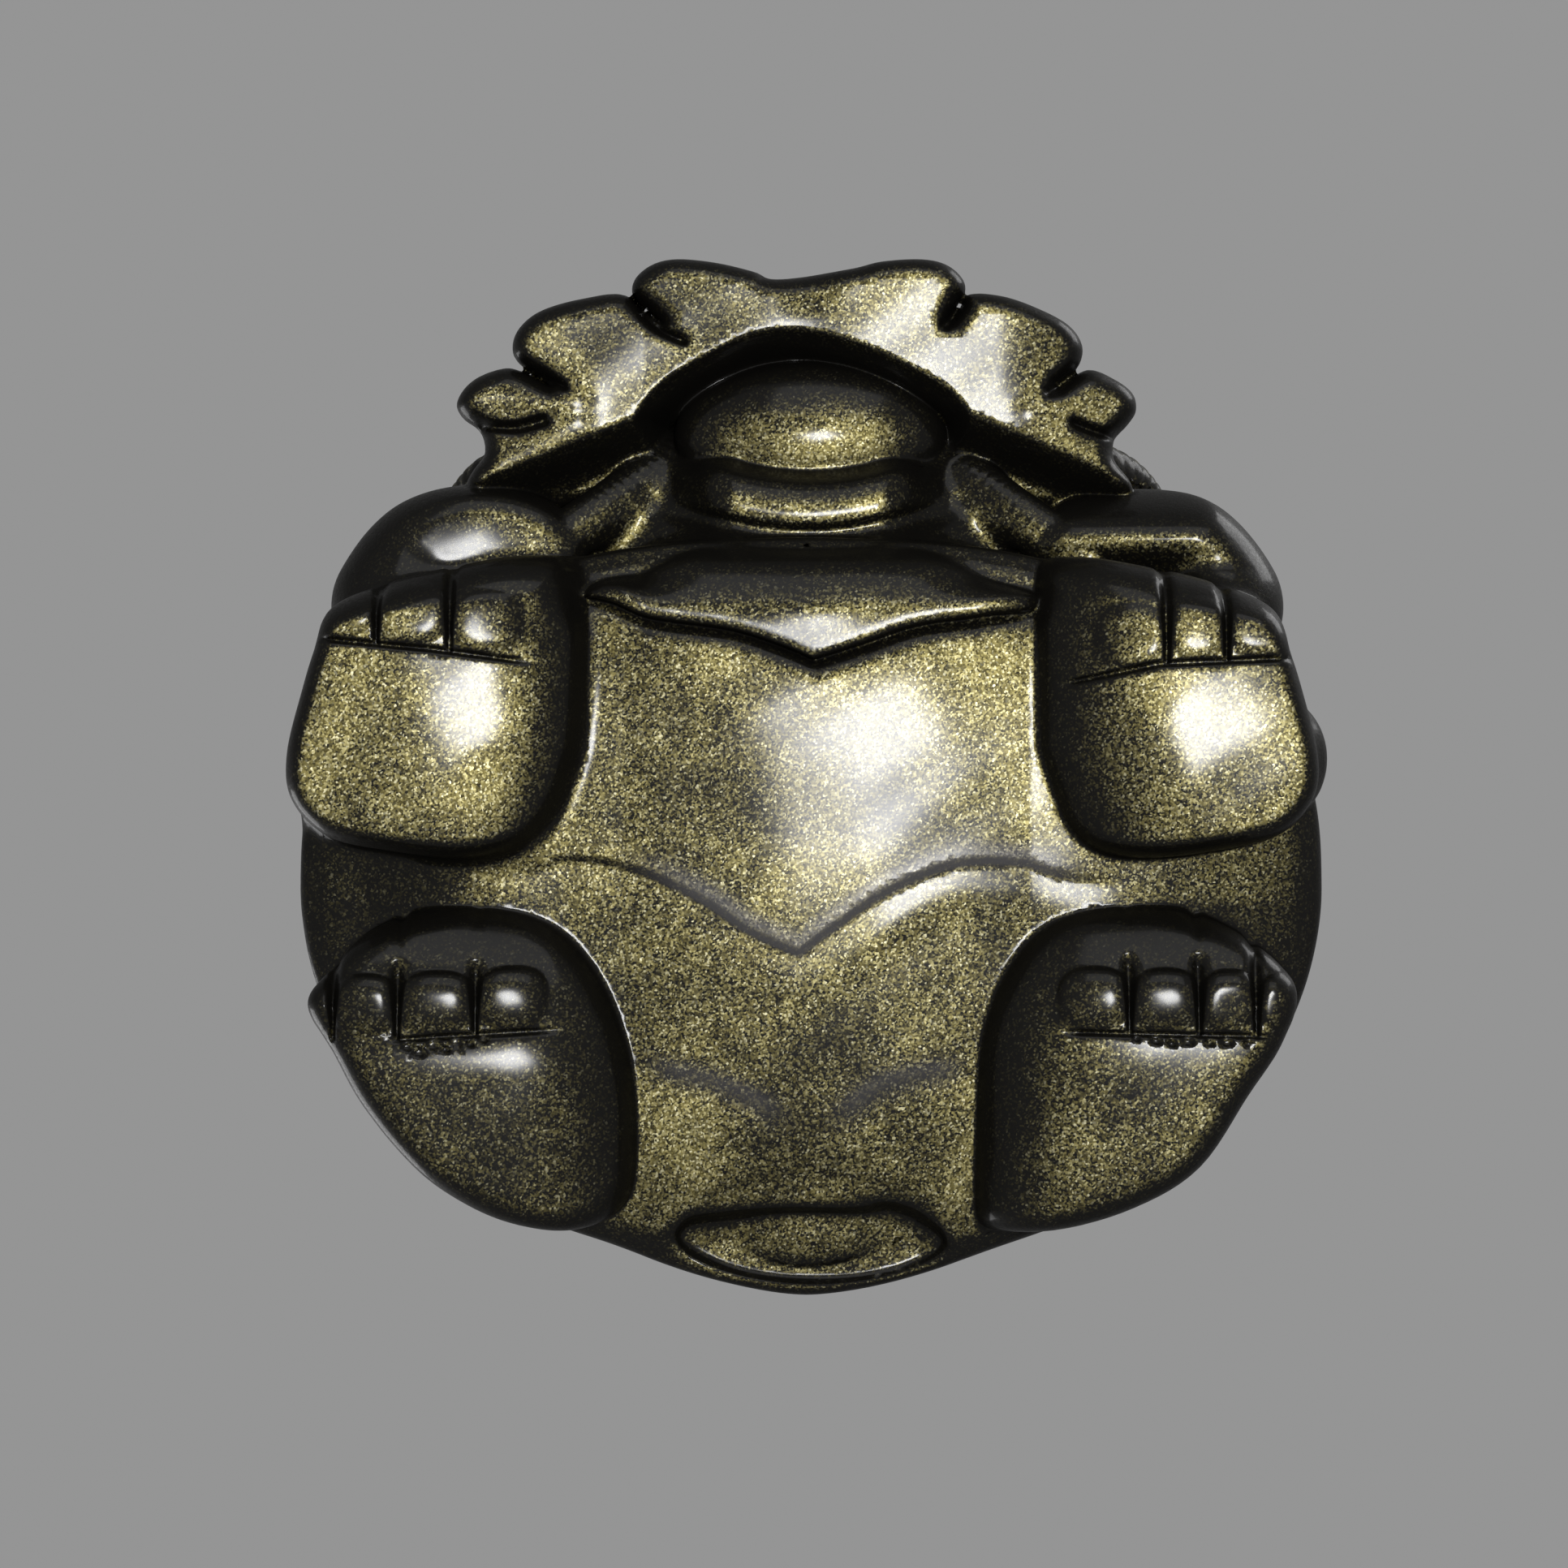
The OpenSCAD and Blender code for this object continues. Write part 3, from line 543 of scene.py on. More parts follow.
def belly_z(x, y):
    """The height of the belly's face above the soles."""
    share = np.minimum(shell_share(x, y), 1.2)
    level = BELLY_LOW + np.minimum(np.abs(x - 1.5), 17.0) ** 2 / 560.0 + 0.5 * (x / 36.0) ** 2
    level = level + 2.9 * share**7
    in_front, behind = (y + 0.4) ** 2 / 500.0, 0.45 * ((y - 6.0) / 26.0) ** 2
    level = level + lerp(in_front, behind, ramp(y, -2.0, 8.0))
    # The middle step, with a swell behind it
    q = middle_vee(x, y)
    fade = ramp(np.abs(x), 27.0, 19.0)
    swell = lerp(0.04, 0.13, ramp(x, -4.0, 6.0))
    step = MIDDLE_STEP * ramp(q, -0.75, 0.15) - swell * bump(q - 2.4, 2.0)
    level = level + fade * step
    # The rearmost line, left out in its middle, then a shallow ridge before the tail
    q = low_vee(x, y)
    fade = ramp(np.abs(x), 14.5, 9.0) * ramp(np.abs(x), 0.5, 3.0)
    level = level + fade * (LOW_STEP * ramp(q, -0.7, 0.3) - 0.08 * bump(q - 2.4, 1.8))
    level = level + TAIL_RIDGE * bump(y - 33.4, 0.9) * ramp(np.abs(x - 0.6), 7.0, 3.0)
    return level + 0.05 * np.maximum(-29.5 - x, 0.0) ** 2


def plastron(p):
    """The belly plate, between the neck's line, the shell's rim and the hollow for the tail."""
    x, y, z = p
    share = shell_share(x, y)
    d = (belly_z(x, y) - z) * 0.96
    d = meet(d, 0.1 - neck_vee(x, y), 1.5)
    d = meet(d, rear_lip(x, y), 1.1)
    d = meet(d, (share - 0.985) * PROFILE_R, 2.0)
    return meet(d, z - BELLY_ROOF, 0.5)


# The neck, with its folds, the lip along the belly plate and the straps at its sides

STRAP = [
    (11.5, -28.4, 19.0, 1.2), (14.2, -25.6, 16.9, 1.9), (17.2, -22.8, 15.2, 2.2),
    (20.4, -20.4, 13.9, 2.2), (24.0, -18.0, 12.8, 2.0),
]
strap = Lock(STRAP, flat=1.6)
# The throat from the chin to the lip: how far forward, and how high above the soles
THROAT_LINE = [
    (-30.0, 16.5), (-26.6, 14.4), (-24.7, 11.2), (-23.5, 10.2), (-22.3, 9.9), (-21.1, 10.0),
    (-20.4, 10.6), (-19.5, 10.2), (-18.2, 8.5), (-17.2, 8.0), (-16.7, 8.3), (-15.5, 7.9),
    (-13.0, 7.2), (-9.0, 5.5),
]
throat_line = curve(THROAT_LINE, steps=6)
LIP_LOW, NECK_ROOF = 4.5, 24.0


def throat_z(x, y):
    """The height of the throat's face: two folds that fall away to the sides, then the chin."""
    curl = y + 0.02 * x * x
    folds = np.interp(curl, throat_line[:, 0], throat_line[:, 1])
    return folds + 6.5 * ramp(np.abs(x), 6.0, 14.0) * ramp(y, -13.5, -19.0)


def lip_z(x, y):
    """The height of the lip that runs along the front of the belly plate."""
    q = neck_vee(x, y)
    back = lerp(q, y + 11.6, ramp(q, -0.8, -4.0))
    lip = LIP_LOW + 0.085 * (back + 1.2) ** 2 + 0.2 * np.maximum(-back - 5.0, 0.0) ** 2
    return lip + 0.05 * np.maximum(np.abs(x) - 8.0, 0.0) ** 2 * ramp(back, -1.5, -6.0)


def neck(p):
    """The folded throat and the lip behind it, the chest above them, and a strap at each side."""
    x, y, z = p
    wide = (np.abs(x), y, z)
    column = pillar(x, y, (0.0, -17.5), (13.5, 13.5), 13.0)
    d = meet((throat_z(x, y) - z) * 0.85, column, 2.5)
    half = 20.0 - 1.5 * np.maximum(-14.5 - y, 0.0)
    rim = meet((lip_z(x, y) - z) * 0.85, (np.abs(x) - half) * 0.6, 3.5)
    d = meet(join(d, rim, 1.0), neck_vee(x, y) + 0.35, 0.5)
    d = meet(d, z - NECK_ROOF, 2.0)
    chest = egg(p, (0, -18.0, 23.2), (26, 12, 10.3))
    return join(join(d, chest, 2.5), strap(wide), 2.4)


# The beard: lobed locks that fan out below the chin, hollowed behind the throat bulb

BEARD_RIGHT = [
    (-2.6, -42.4), (3.5, -43.2), (6.4, -43.9), (9.9, -44.1), (12.2, -43.5), (13.6, -42.0), (13.3, -40.2),
    (12.4, -38.9), (12.4, -38.9), (13.7, -41.0), (16.9, -40.9), (20.4, -39.7), (22.7, -38.4), (23.8, -36.7),
    (23.4, -34.9), (21.6, -33.2), (21.6, -33.2), (24.2, -34.7), (26.6, -33.9), (28.2, -32.7), (28.5, -31.2),
    (27.8, -30.0), (26.6, -28.6), (26.6, -26.9), (28.0, -25.1), (28.3, -23.6), (27.0, -22.3), (22.0, -22.3),
    (14.0, -23.5),
]
BEARD_LEFT = [
    (-14.0, -23.5), (-22.0, -22.6), (-28.0, -23.0), (-29.3, -24.6), (-28.8, -25.9), (-27.8, -27.4),
    (-28.2, -29.2), (-29.6, -30.3), (-30.2, -31.6), (-29.3, -33.2), (-27.6, -34.3), (-25.2, -34.7),
    (-22.2, -33.2), (-22.2, -33.2), (-24.9, -35.2), (-25.4, -36.7), (-24.7, -38.3), (-22.8, -39.7),
    (-19.3, -40.7), (-15.6, -41.0), (-12.6, -38.6), (-12.6, -38.6), (-14.8, -40.4), (-15.0, -42.1),
    (-13.6, -43.5), (-11.4, -44.1), (-8.0, -43.8), (-4.5, -43.0),
]
CHIN_ARCH = [
    (-0.7, -37.6), (3.2, -36.8), (6.8, -35.4), (10.3, -33.6), (12.6, -32.0), (13.6, -29.9),
    (12.0, -27.0), (8.0, -24.0), (0.0, -22.5), (-8.0, -24.0), (-12.5, -27.0), (-14.4, -29.8),
    (-13.4, -31.9), (-11.4, -33.7), (-8.1, -35.6), (-4.5, -37.2),
]
beard_plan = Plan([curve(BEARD_RIGHT + BEARD_LEFT, closed=True, steps=5)], closed=True, pitch=0.18)
chin_plan = closed_plan(CHIN_ARCH)
# The cuts that run in from the notches between the locks
BEARD_CUTS = [
    [(13.2, -40.2), (12.4, -39.0), (11.8, -38.2)],
    [(-14.9, -40.8), (-13.9, -38.9), (-12.5, -37.7), (-10.7, -36.9)],
    [(23.2, -34.7), (22.0, -33.4), (20.7, -32.5)],
    [(-25.0, -34.9), (-23.0, -34.1), (-20.9, -33.0)],
    [(27.6, -29.0), (25.4, -29.0), (23.0, -29.8)],
    [(-27.9, -29.6), (-25.0, -29.4), (-22.6, -30.0)],
]
# The rounded backs of the side locks
LOBE_RIDGES = [
    [(20.0, -31.2), (24.0, -31.6), (27.4, -31.4)],
    [(19.5, -30.6), (23.5, -28.2), (27.2, -25.4)],
    [(-20.0, -31.4), (-24.0, -32.0), (-28.8, -31.8)],
    [(-20.0, -29.8), (-24.0, -27.4), (-28.2, -25.2)],
]
beard_cuts = Plan([curve(line) for line in BEARD_CUTS], pitch=0.2, margin=3.0)
lobe_ridges = Plan([curve(line) for line in LOBE_RIDGES], pitch=0.2, margin=4.0)
BEARD_LOW, BEARD_ROOF = 12.3, 20.4
BEARD_ROUND_W, BEARD_ROUND_H = 1.7, 2.8
# How high the beard is hollowed behind the chin and towards the throat
CHIN_HOLLOW, THROAT_HOLLOW = 9.0, 4.0
BEARD_CUT, BEARD_CUT_W = 0.8, 0.38
LOBE_SWELL, LOBE_SWELL_W = 0.3, 1.7


def beard(p):
    x, y, z = p
    q = beard_plan(x, y)
    ax = np.abs(x)
    under = BEARD_LOW + 1.6 * ramp(x, 16.0, 32.0) + 0.02 * np.minimum(x + 14.0, 0.0) + 0.045 * (y + 38.0)
    under = under + 0.4 * ramp(ax, 3.5, 0.0) * ramp(y, -38.5, -43.0)
    chin = chin_plan(x, y)
    under = under + CHIN_HOLLOW * ramp(chin, 0.3, -5.0) + 0.5 * ramp(chin, 0.5, -0.5)
    under = under + BEARD_CUT * bump(np.maximum(beard_cuts(x, y), 0.0), BEARD_CUT_W)
    under = under - LOBE_SWELL * bump(lobe_ridges(x, y), LOBE_SWELL_W)
    # Behind its lower edge the beard falls away to the throat
    behind = (y + 31.0 - (ax - 13.0) * 0.42) * 0.92
    under = under + THROAT_HOLLOW * ramp(behind, -0.4, 3.4) * ramp(ax, 9.0, 13.0)
    top = np.minimum(under + lerp(4.8, 9.0, ramp(-q, 0.5, 9.0)), BEARD_ROOF)
    return meet(rounded(q, z - under, BEARD_ROUND_W, BEARD_ROUND_H), z - top, 2.5)


def bulb(p):
    return egg(p, (0.3, -29.2, 17.3), (11.8, 6.5, 4.8))


# The head above the beard

def jaw(p):
    return eggs(p, [((0, -31.6, 22.2), (12.5, 10.5, 3.4)), ((0, -39, 22), (6.5, 3.6, 3))], 2.0)


EYE = (9.3, -35.8, 38.6)
EYE_R = 3.25


def head(p):
    """The skull with muzzle and cheeks, then nostrils, eye sockets, wrinkles and the mouth's line."""
    x, y, z = p
    q = (np.abs(x), y, z)
    d = eggs(q, [((0, -27.1, 38.5), (15.6, 12, 12)), ((0, -33.1, 39.5), (12, 7, 7)),
                 ((0, -35, 33), (10.5, 8.5, 5.5)), ((0, -40, 34.6), (6.8, 3.6, 3.8)),
                 ((0, -33.6, 29.2), (13.5, 9.8, 3.6)), ((0, -25.6, 32), (13, 8.5, 9))], 1.8)
    small = eggs(q, [((4.6, -40.2, 34.2), (3, 2.8, 2.8)), ((13.5, -26.6, 33.5), (6.5, 8, 7.5)),
                     ((9.5, -38.4, 29.6), (3.6, 3, 3)), ((11.6, -30.1, 39), (6, 7.6, 8.1))], 1.5)
    d = join(d, small, 1.2)
    nostril = egg(q, (4.6, -43.1, 34.4), (1.3, 1.9, 1.3))
    d = meet(d, -nostril, 0.8)
    socket = np.sqrt((q[0] - EYE[0]) ** 2 + (y - EYE[1] + 1.0) ** 2 + (z - EYE[2]) ** 2) - EYE_R - 0.7
    d = meet(d, -socket, 0.8)
    wrinkle = bump(y + 36.6, 0.35) + bump(y + 38.4, 0.3)
    d = d + 0.3 * wrinkle * ramp(z, 35.5, 37.0) * ramp(np.abs(x), 7.0, 4.0)
    lip = bump(z - 31.6, 0.4) * ramp(y, -30.0, -34.0)
    return d + 0.35 * lip


def eye(p):
    """A ball, with a ring and a pupil cut into its front."""
    x, y, z = p
    d = np.sqrt((x - EYE[0]) ** 2 + (y - EYE[1]) ** 2 + (z - EYE[2]) ** 2) - EYE_R
    off = np.sqrt((x - EYE[0] - 0.9) ** 2 + (z - EYE[2]) ** 2)
    return d + ramp(y, -36.0, -38.0) * (0.3 * bump(off - 1.6, 0.3) + 0.35 * bump(off, 0.55))


brow_lock = Lock([(3, -39, 41.5, 1.98), (8.5, -38.5, 43.5, 2.6), (12.5, -34.7, 45, 2.4),
                  (15.5, -29.6, 46.6, 1.56), (17.5, -24.7, 48.5, 0.68)], cuts=3, depth=0.45)
horn_lock = Lock([(7.5, -24.6, 46, 3.4), (10.5, -16, 48.3, 3.0), (13, -8, 46.4, 2.6),
                  (15.2, -1, 43.2, 1.9), (16.4, 5, 42.3, 0.8)], cuts=2, depth=0.25)
# The way that the cuts in the cheek locks face
CHEEK_OUT = (0.0, -0.8, 0.6)
CHEEK_BEADS = [
    [(15, -30, 36, 4.5), (21, -26, 37, 3.9), (26, -22, 39, 2.5), (29, -19, 42, 0.8)],
    [(16, -30, 30, 4.5), (23, -27.5, 31, 3.8), (28.5, -26.5, 33, 2.5), (32.5, -25, 36, 0.8)],
    [(15, -29, 24, 4.3), (21.5, -27, 24, 3.5), (26.5, -24, 25.5, 2.3), (30, -20, 28, 0.8)],
]
CHEEK_LOCKS = [Lock(beads, cuts=2, depth=0.6, up=CHEEK_OUT) for beads in CHEEK_BEADS]
NAPE_BEADS = [
    [(x, -14, 42, 4.2), (1.1 * x, -8, 41.5, 3.3), (1.15 * x, -2, 43, 1.9), (1.1 * x, 2.6, 44, 0.8)]
    for x in (-10, -5, 0, 5, 10)
]
NAPE_LOCKS = [Lock(beads, cuts=3, depth=0.55) for beads in NAPE_BEADS]


def locks(p, bunch, soft):
    return join_all([lock(p) for lock in bunch], soft)


def cheek_mane(p):
    return locks(p, CHEEK_LOCKS, 0.8)


def nape_mane(p):
    return join(egg(p, (0, -17, 36.1), (15, 9.2, 10.3)), locks(p, NAPE_LOCKS, 1.1), 1.2)


# The tail, a leaf that lies below the shell's rear rim

LEAF = [
    (-9.8, 37.8), (-7.9, 39.6), (-5.0, 41.2), (-2.0, 42.1), (0.4, 42.3), (4.4, 41.5), (8.0, 39.9),
    (10.2, 38.2),
]
REAR_RIM = [
    (-24.0, 35.5), (-16.3, 39.9), (-11.4, 41.9), (-6.6, 43.5), (0.4, 44.1), (7.3, 43.3),
    (12.8, 41.2), (17.0, 39.8), (24.0, 35.5),
]
leaf_edge = Plan([curve(LEAF)], pitch=0.15)
leaf_row, rear_rim = Edge(LEAF), Edge(REAR_RIM)
TAIL_MIDDLE, TAIL_HALF = 0.5, 12.2
TAIL_LOW, TAIL_ROOF, TAIL_START = 8.3, 12.0, 33.0
# The serrated line along the leaf's edge, and the rows inside it
EDGE_DEPTH, EDGE_W, SAW_DEPTH, SAW_PITCH = 0.55, 0.28, 0.3, 1.3
ROW_DEPTH, ROW_W, ROW_PITCH = 0.16, 0.13, 0.75


def tail(p):
    """A leaf with a thin serrated line along its edge and fine rows inside it."""
    x, y, z = p
    q = leaf_edge(x, y)
    inside = leaf_row(x, y)
    face = TAIL_LOW + np.minimum(0.03 * (x - TAIL_MIDDLE) ** 2, 1.4)
    face = face + 0.12 * np.maximum(y - 39.2, 0.0) ** 2
    saw = SAW_DEPTH * np.abs(np.mod(x / SAW_PITCH, 1.0) - 0.5)
    face = face + EDGE_DEPTH * bump(q - saw, EDGE_W) + 0.35 * ramp(inside, 0.0, 0.8)
    rows = ROW_DEPTH * bump(np.mod(inside + 0.1, ROW_PITCH) - 0.37, ROW_W) * ramp(inside, 0.5, 0.8)
    d = (face + rows - z) * 0.8
    d = meet(d, rear_rim(x, y) + 0.35, 1.2)
    d = meet(d, TAIL_START - y, 1.5)
    return meet(meet(d, np.abs(x - TAIL_MIDDLE) - TAIL_HALF, 2.0), z - TAIL_ROOF, 1.0)


# Every form: its CAD node, its field, and how softly it joins the forms before it

# Where forms overlap, the stone there goes to the one that comes later here
RANKS = ["carapace", "tail", "plastron", "neck", "nape_mane", "cheek_mane", "beard_frill", "leg",
         "throat_bulb", "lower_jaw", "head", "brow", "horn", "eye"]


def rank_of(node):
    return next(i for i, word in enumerate(RANKS) if word in node)


def mirrored(field):
    return lambda p: field((-p[0], p[1], p[2]))


FORMS = [
    ("carapace", carapace, 1.0),
    ("plastron", plastron, 3.2),
    ("tail", tail, 0.4),
    ("front_left_leg", partial(front_leg, FEET["front_left"]), 1.8),
    ("front_right_leg", partial(front_leg, FEET["front_right"]), 0.5),
    ("rear_left_leg", partial(rear_leg, FEET["rear_left"]), 0.6),
    ("rear_right_leg", partial(rear_leg, FEET["rear_right"]), 0.6),
    ("neck", neck, 0.35),
    ("nape_mane", nape_mane, 0.6),
    ("cheek_mane_right", cheek_mane, 0.6),
    ("cheek_mane_left", mirrored(cheek_mane), 0.6),
    ("beard_frill", beard, 0.5),
    ("throat_bulb", bulb, 0.5),
    ("lower_jaw", jaw, 0.6),
    ("head", head, 1.2),
    ("brow_right", brow_lock, 0.5),
    ("brow_left", mirrored(brow_lock), 0.5),
    ("horn_right", horn_lock, 0.5),
    ("horn_left", mirrored(horn_lock), 0.5),
    ("eye_right", eye, 0.15),
    ("eye_left", mirrored(eye), 0.15),
]
NODES = [name for name, field, soft in FORMS]
# How far round its CAD node a form's field is worked out, where no box is given
PAD = 2.6
WIDE_PAD = {"carapace": 6.0, "plastron": 6.0}
FIELD_BOX = {
    "neck": ((-28, -33, 2), (28, -6, 35)),
    "throat_bulb": ((-15, -38, 10), (15, -20, 25)),
    "tail": ((-19, 30, 5), (19, 47, 15)),
    "beard_frill": ((-33, -46, 10), (33, -19, 24)),
    "plastron": ((-46, -22, 2), (46, 46, 14)),
    "rear_left_leg": ((-44, 8, -2), (-10, 41, 22)),
    "rear_right_leg": ((10, 8, -2), (44, 41, 22)),
}


def form_box(node):
    """The lowest and highest corner of the box in which a form's field is worked out."""
    if node in FIELD_BOX:
        low, high = FIELD_BOX[node]
        return np.array(low, float), np.array(high, float)
    low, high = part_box(node)
    pad = WIDE_PAD.get(node, PAD)
    return np.array(low) / MM - pad, np.array(high) / MM + pad


BOXES = {node: form_box(node) for node in NODES}
WAVE_HEIGHT = 0.012


def stone(pts):
    """The whole carving's field at points, rows of x, y, z."""
    g = np.full(len(pts), FAR)
    for node, field, soft in FORMS:
        low, high = BOXES[node]
        here = np.flatnonzero(np.all((pts > low) & (pts < high), axis=1))
        if len(here):
            d = field((pts[here, 0], pts[here, 1], pts[here, 2]))
            g[here] = join(g[here], d, soft)
    return g + waviness(pts)


def waviness(pts):
    """The slight unevenness that hand polishing leaves."""
    x, y, z = pts.T
    wave = np.sin(0.71 * x + 1.3 + 0.4 * y) * np.sin(0.57 * y + 0.8) + np.sin(0.93 * z + 0.5 * x + 2.1)
    return WAVE_HEIGHT * wave


CORNERS = np.array([(1, 1, 1), (1, -1, -1), (-1, 1, -1), (-1, -1, 1)], float)
# How far the slope's samples reach: to move a point, for a normal, and for the looks
SLOPE_REACH, NORMAL_REACH, BROAD_REACH = 0.08, 0.12, 0.22
LONGEST_STEP = 0.35
LEAST_STEEP = 0.04


def slope(pts, reach):
    """The field and its slope at points, from four samples round each."""
    values = [stone(pts + reach * corner) for corner in CORNERS]
    grad = sum(v[:, None] * corner for v, corner in zip(values, CORNERS)) / (4.0 * reach)
    return sum(values) / 4.0, grad


def settle(pts, turns=3):
    """Moves points onto the stone's skin."""
    for _ in range(turns):
        g, grad = slope(pts, SLOPE_REACH)
        steep = np.maximum((grad**2).sum(axis=1), LEAST_STEEP)
        pts = pts - np.clip(g / steep, -LONGEST_STEP, LONGEST_STEP)[:, None] * grad
    return pts


# The stone sampled on a grid, and each inner point given to a form

GRID = 0.5
GRID_MARGIN = 1.6
NEIGHBOURS = [(axis, step) for axis in range(3) for step in (-1, 1)]


def sample():
    low = np.array([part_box(n)[0] for n in NODES]).min(axis=0) / MM - GRID_MARGIN
    high = np.array([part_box(n)[1] for n in NODES]).max(axis=0) / MM + GRID_MARGIN
    size = np.ceil((high - low) / GRID).astype(int) + 1
    g = np.full(size, FAR)
    best = np.full(size, FAR)
    owner = np.zeros(size, np.int16)
    axes = [low[i] + GRID * np.arange(size[i]) for i in range(3)]
    for number, (node, field, soft) in enumerate(FORMS, start=1):
        box_low, box_high = BOXES[node]
        span = [slice(*np.searchsorted(axes[i], (box_low[i], box_high[i]))) for i in range(3)]
        block = tuple(span)
        x, y, z = np.meshgrid(*[axes[i][span[i]] for i in range(3)], indexing="ij")
        d = field((x.ravel(), y.ravel(), z.ravel())).reshape(x.shape)
        g[block] = join(g[block], d, soft)
        claim = np.where(d > 0, d, -10.0 * (1 + rank_of(node)))
        mine = claim < best[block]
        best[block] = np.where(mine, claim, best[block])
        owner[block] = np.where(mine, number, owner[block])
    full = np.stack(np.meshgrid(*axes, indexing="ij"), axis=-1).reshape(-1, 3)
    g = g + waviness(full).reshape(g.shape)
    owner[g >= 0] = 0
    return low, g, owner


def drop_specks(owner, turns=2):
    """Gives a form's lone grid points to the form round them."""
    for _ in range(turns):
        same = np.zeros(owner.shape, np.int8)
        for axis, step in NEIGHBOURS:
            same += owner == np.roll(owner, step, axis=axis)
        lone = (owner > 0) & (same <= 1)
        for axis, step in NEIGHBOURS:
            near = np.roll(owner, step, axis=axis)
            owner = np.where(lone & (near > 0) & (near != owner), near, owner)
    return owner


def skin_net(low, g, owner):
    """One corner in each grid cell that a surface crosses, and a quad for each crossed grid edge."""
    cells = np.array(owner.shape) - 1
    ids, places, quads, fronts, backs = [], [], [], [], []
    for axis in range(3):
        first = [slice(None)] * 3
        second = [slice(None)] * 3
        first[axis], second[axis] = slice(0, -1), slice(1, None)
        a, b = owner[tuple(first)], owner[tuple(second)]
        spot = np.argwhere(a != b)
        key = tuple(spot.T)
        a, b = a[key], b[key]
        ga, gb = g[tuple(first)][key], g[tuple(second)][key]
        edge = (a == 0) | (b == 0)
        t = np.where(edge, ga / np.where(edge, ga - gb, 1.0), 0.5)
        place = spot.astype(float)
        place[:, axis] += np.clip(t, 0.02, 0.98)
        u, v = (axis + 1) % 3, (axis + 2) % 3
        ring = []
        for du, dv in ((-1, -1), (0, -1), (0, 0), (-1, 0)):
            cell = spot.copy()
            cell[:, u] += du
            cell[:, v] += dv
            ring.append(np.ravel_multi_index(tuple(cell.T), tuple(cells)))
            ids.append(ring[-1])
            places.append(place)
        quad = np.stack(ring, axis=1)
        turned = a == 0
        quad[turned] = quad[turned][:, ::-1]
        quads.append(quad)
        fronts.append(np.where(turned, b, a))
        backs.append(np.where(turned, a, b))
    ids = np.concatenate(ids)
    places = np.concatenate(places)
    kept, index = np.unique(ids, return_inverse=True)
    count = np.bincount(index)
    pts = np.stack([np.bincount(index, places[:, i]) / count for i in range(3)], axis=1)
    quads = np.searchsorted(kept, np.concatenate(quads))
    return low + GRID * pts, quads, np.concatenate(fronts), np.concatenate(backs)


def relax(pts, pairs, movable, turns):
    """Draws points towards the middle of their neighbours."""
    both = np.concatenate([pairs, pairs[:, ::-1]])
    count = np.maximum(np.bincount(both[:, 0], minlength=len(pts)), 1)[:, None]
    for _ in range(turns):
        total = np.stack(
            [np.bincount(both[:, 0], pts[both[:, 1], i], minlength=len(pts)) for i in range(3)], axis=1
        )
        pts = np.where(movable[:, None], 0.5 * pts + 0.5 * total / count, pts)
    return pts


def quad_pairs(quads):
    pairs = np.concatenate([quads[:, [i, (i + 1) % 4]] for i in range(4)])
    return np.unique(np.sort(pairs, axis=1), axis=0)


SPLIT_ROUNDS = 3
# The shortest edges, which are longer above this height
FINEST_EDGE, FINEST_EDGE_ABOVE, ABOVE_Z = 0.13, 0.24, 21.0
# An edge is halved where it misses the skin by more than this, or where the skin bends more
SKIN_MISS, SKIN_BEND = 0.022, math.cos(math.radians(16))
# How a triangle 0, 1, 2 falls apart when one, two or all of its sides have new points 3, 4, 5
ONE_CUT = [[0, 3, 2], [3, 1, 2]]
TWO_CUTS = [[3, 1, 4], [0, 3, 4], [0, 4, 2]]
THREE_CUTS = [[0, 3, 5], [3, 1, 4], [5, 4, 2], [3, 4, 5]]


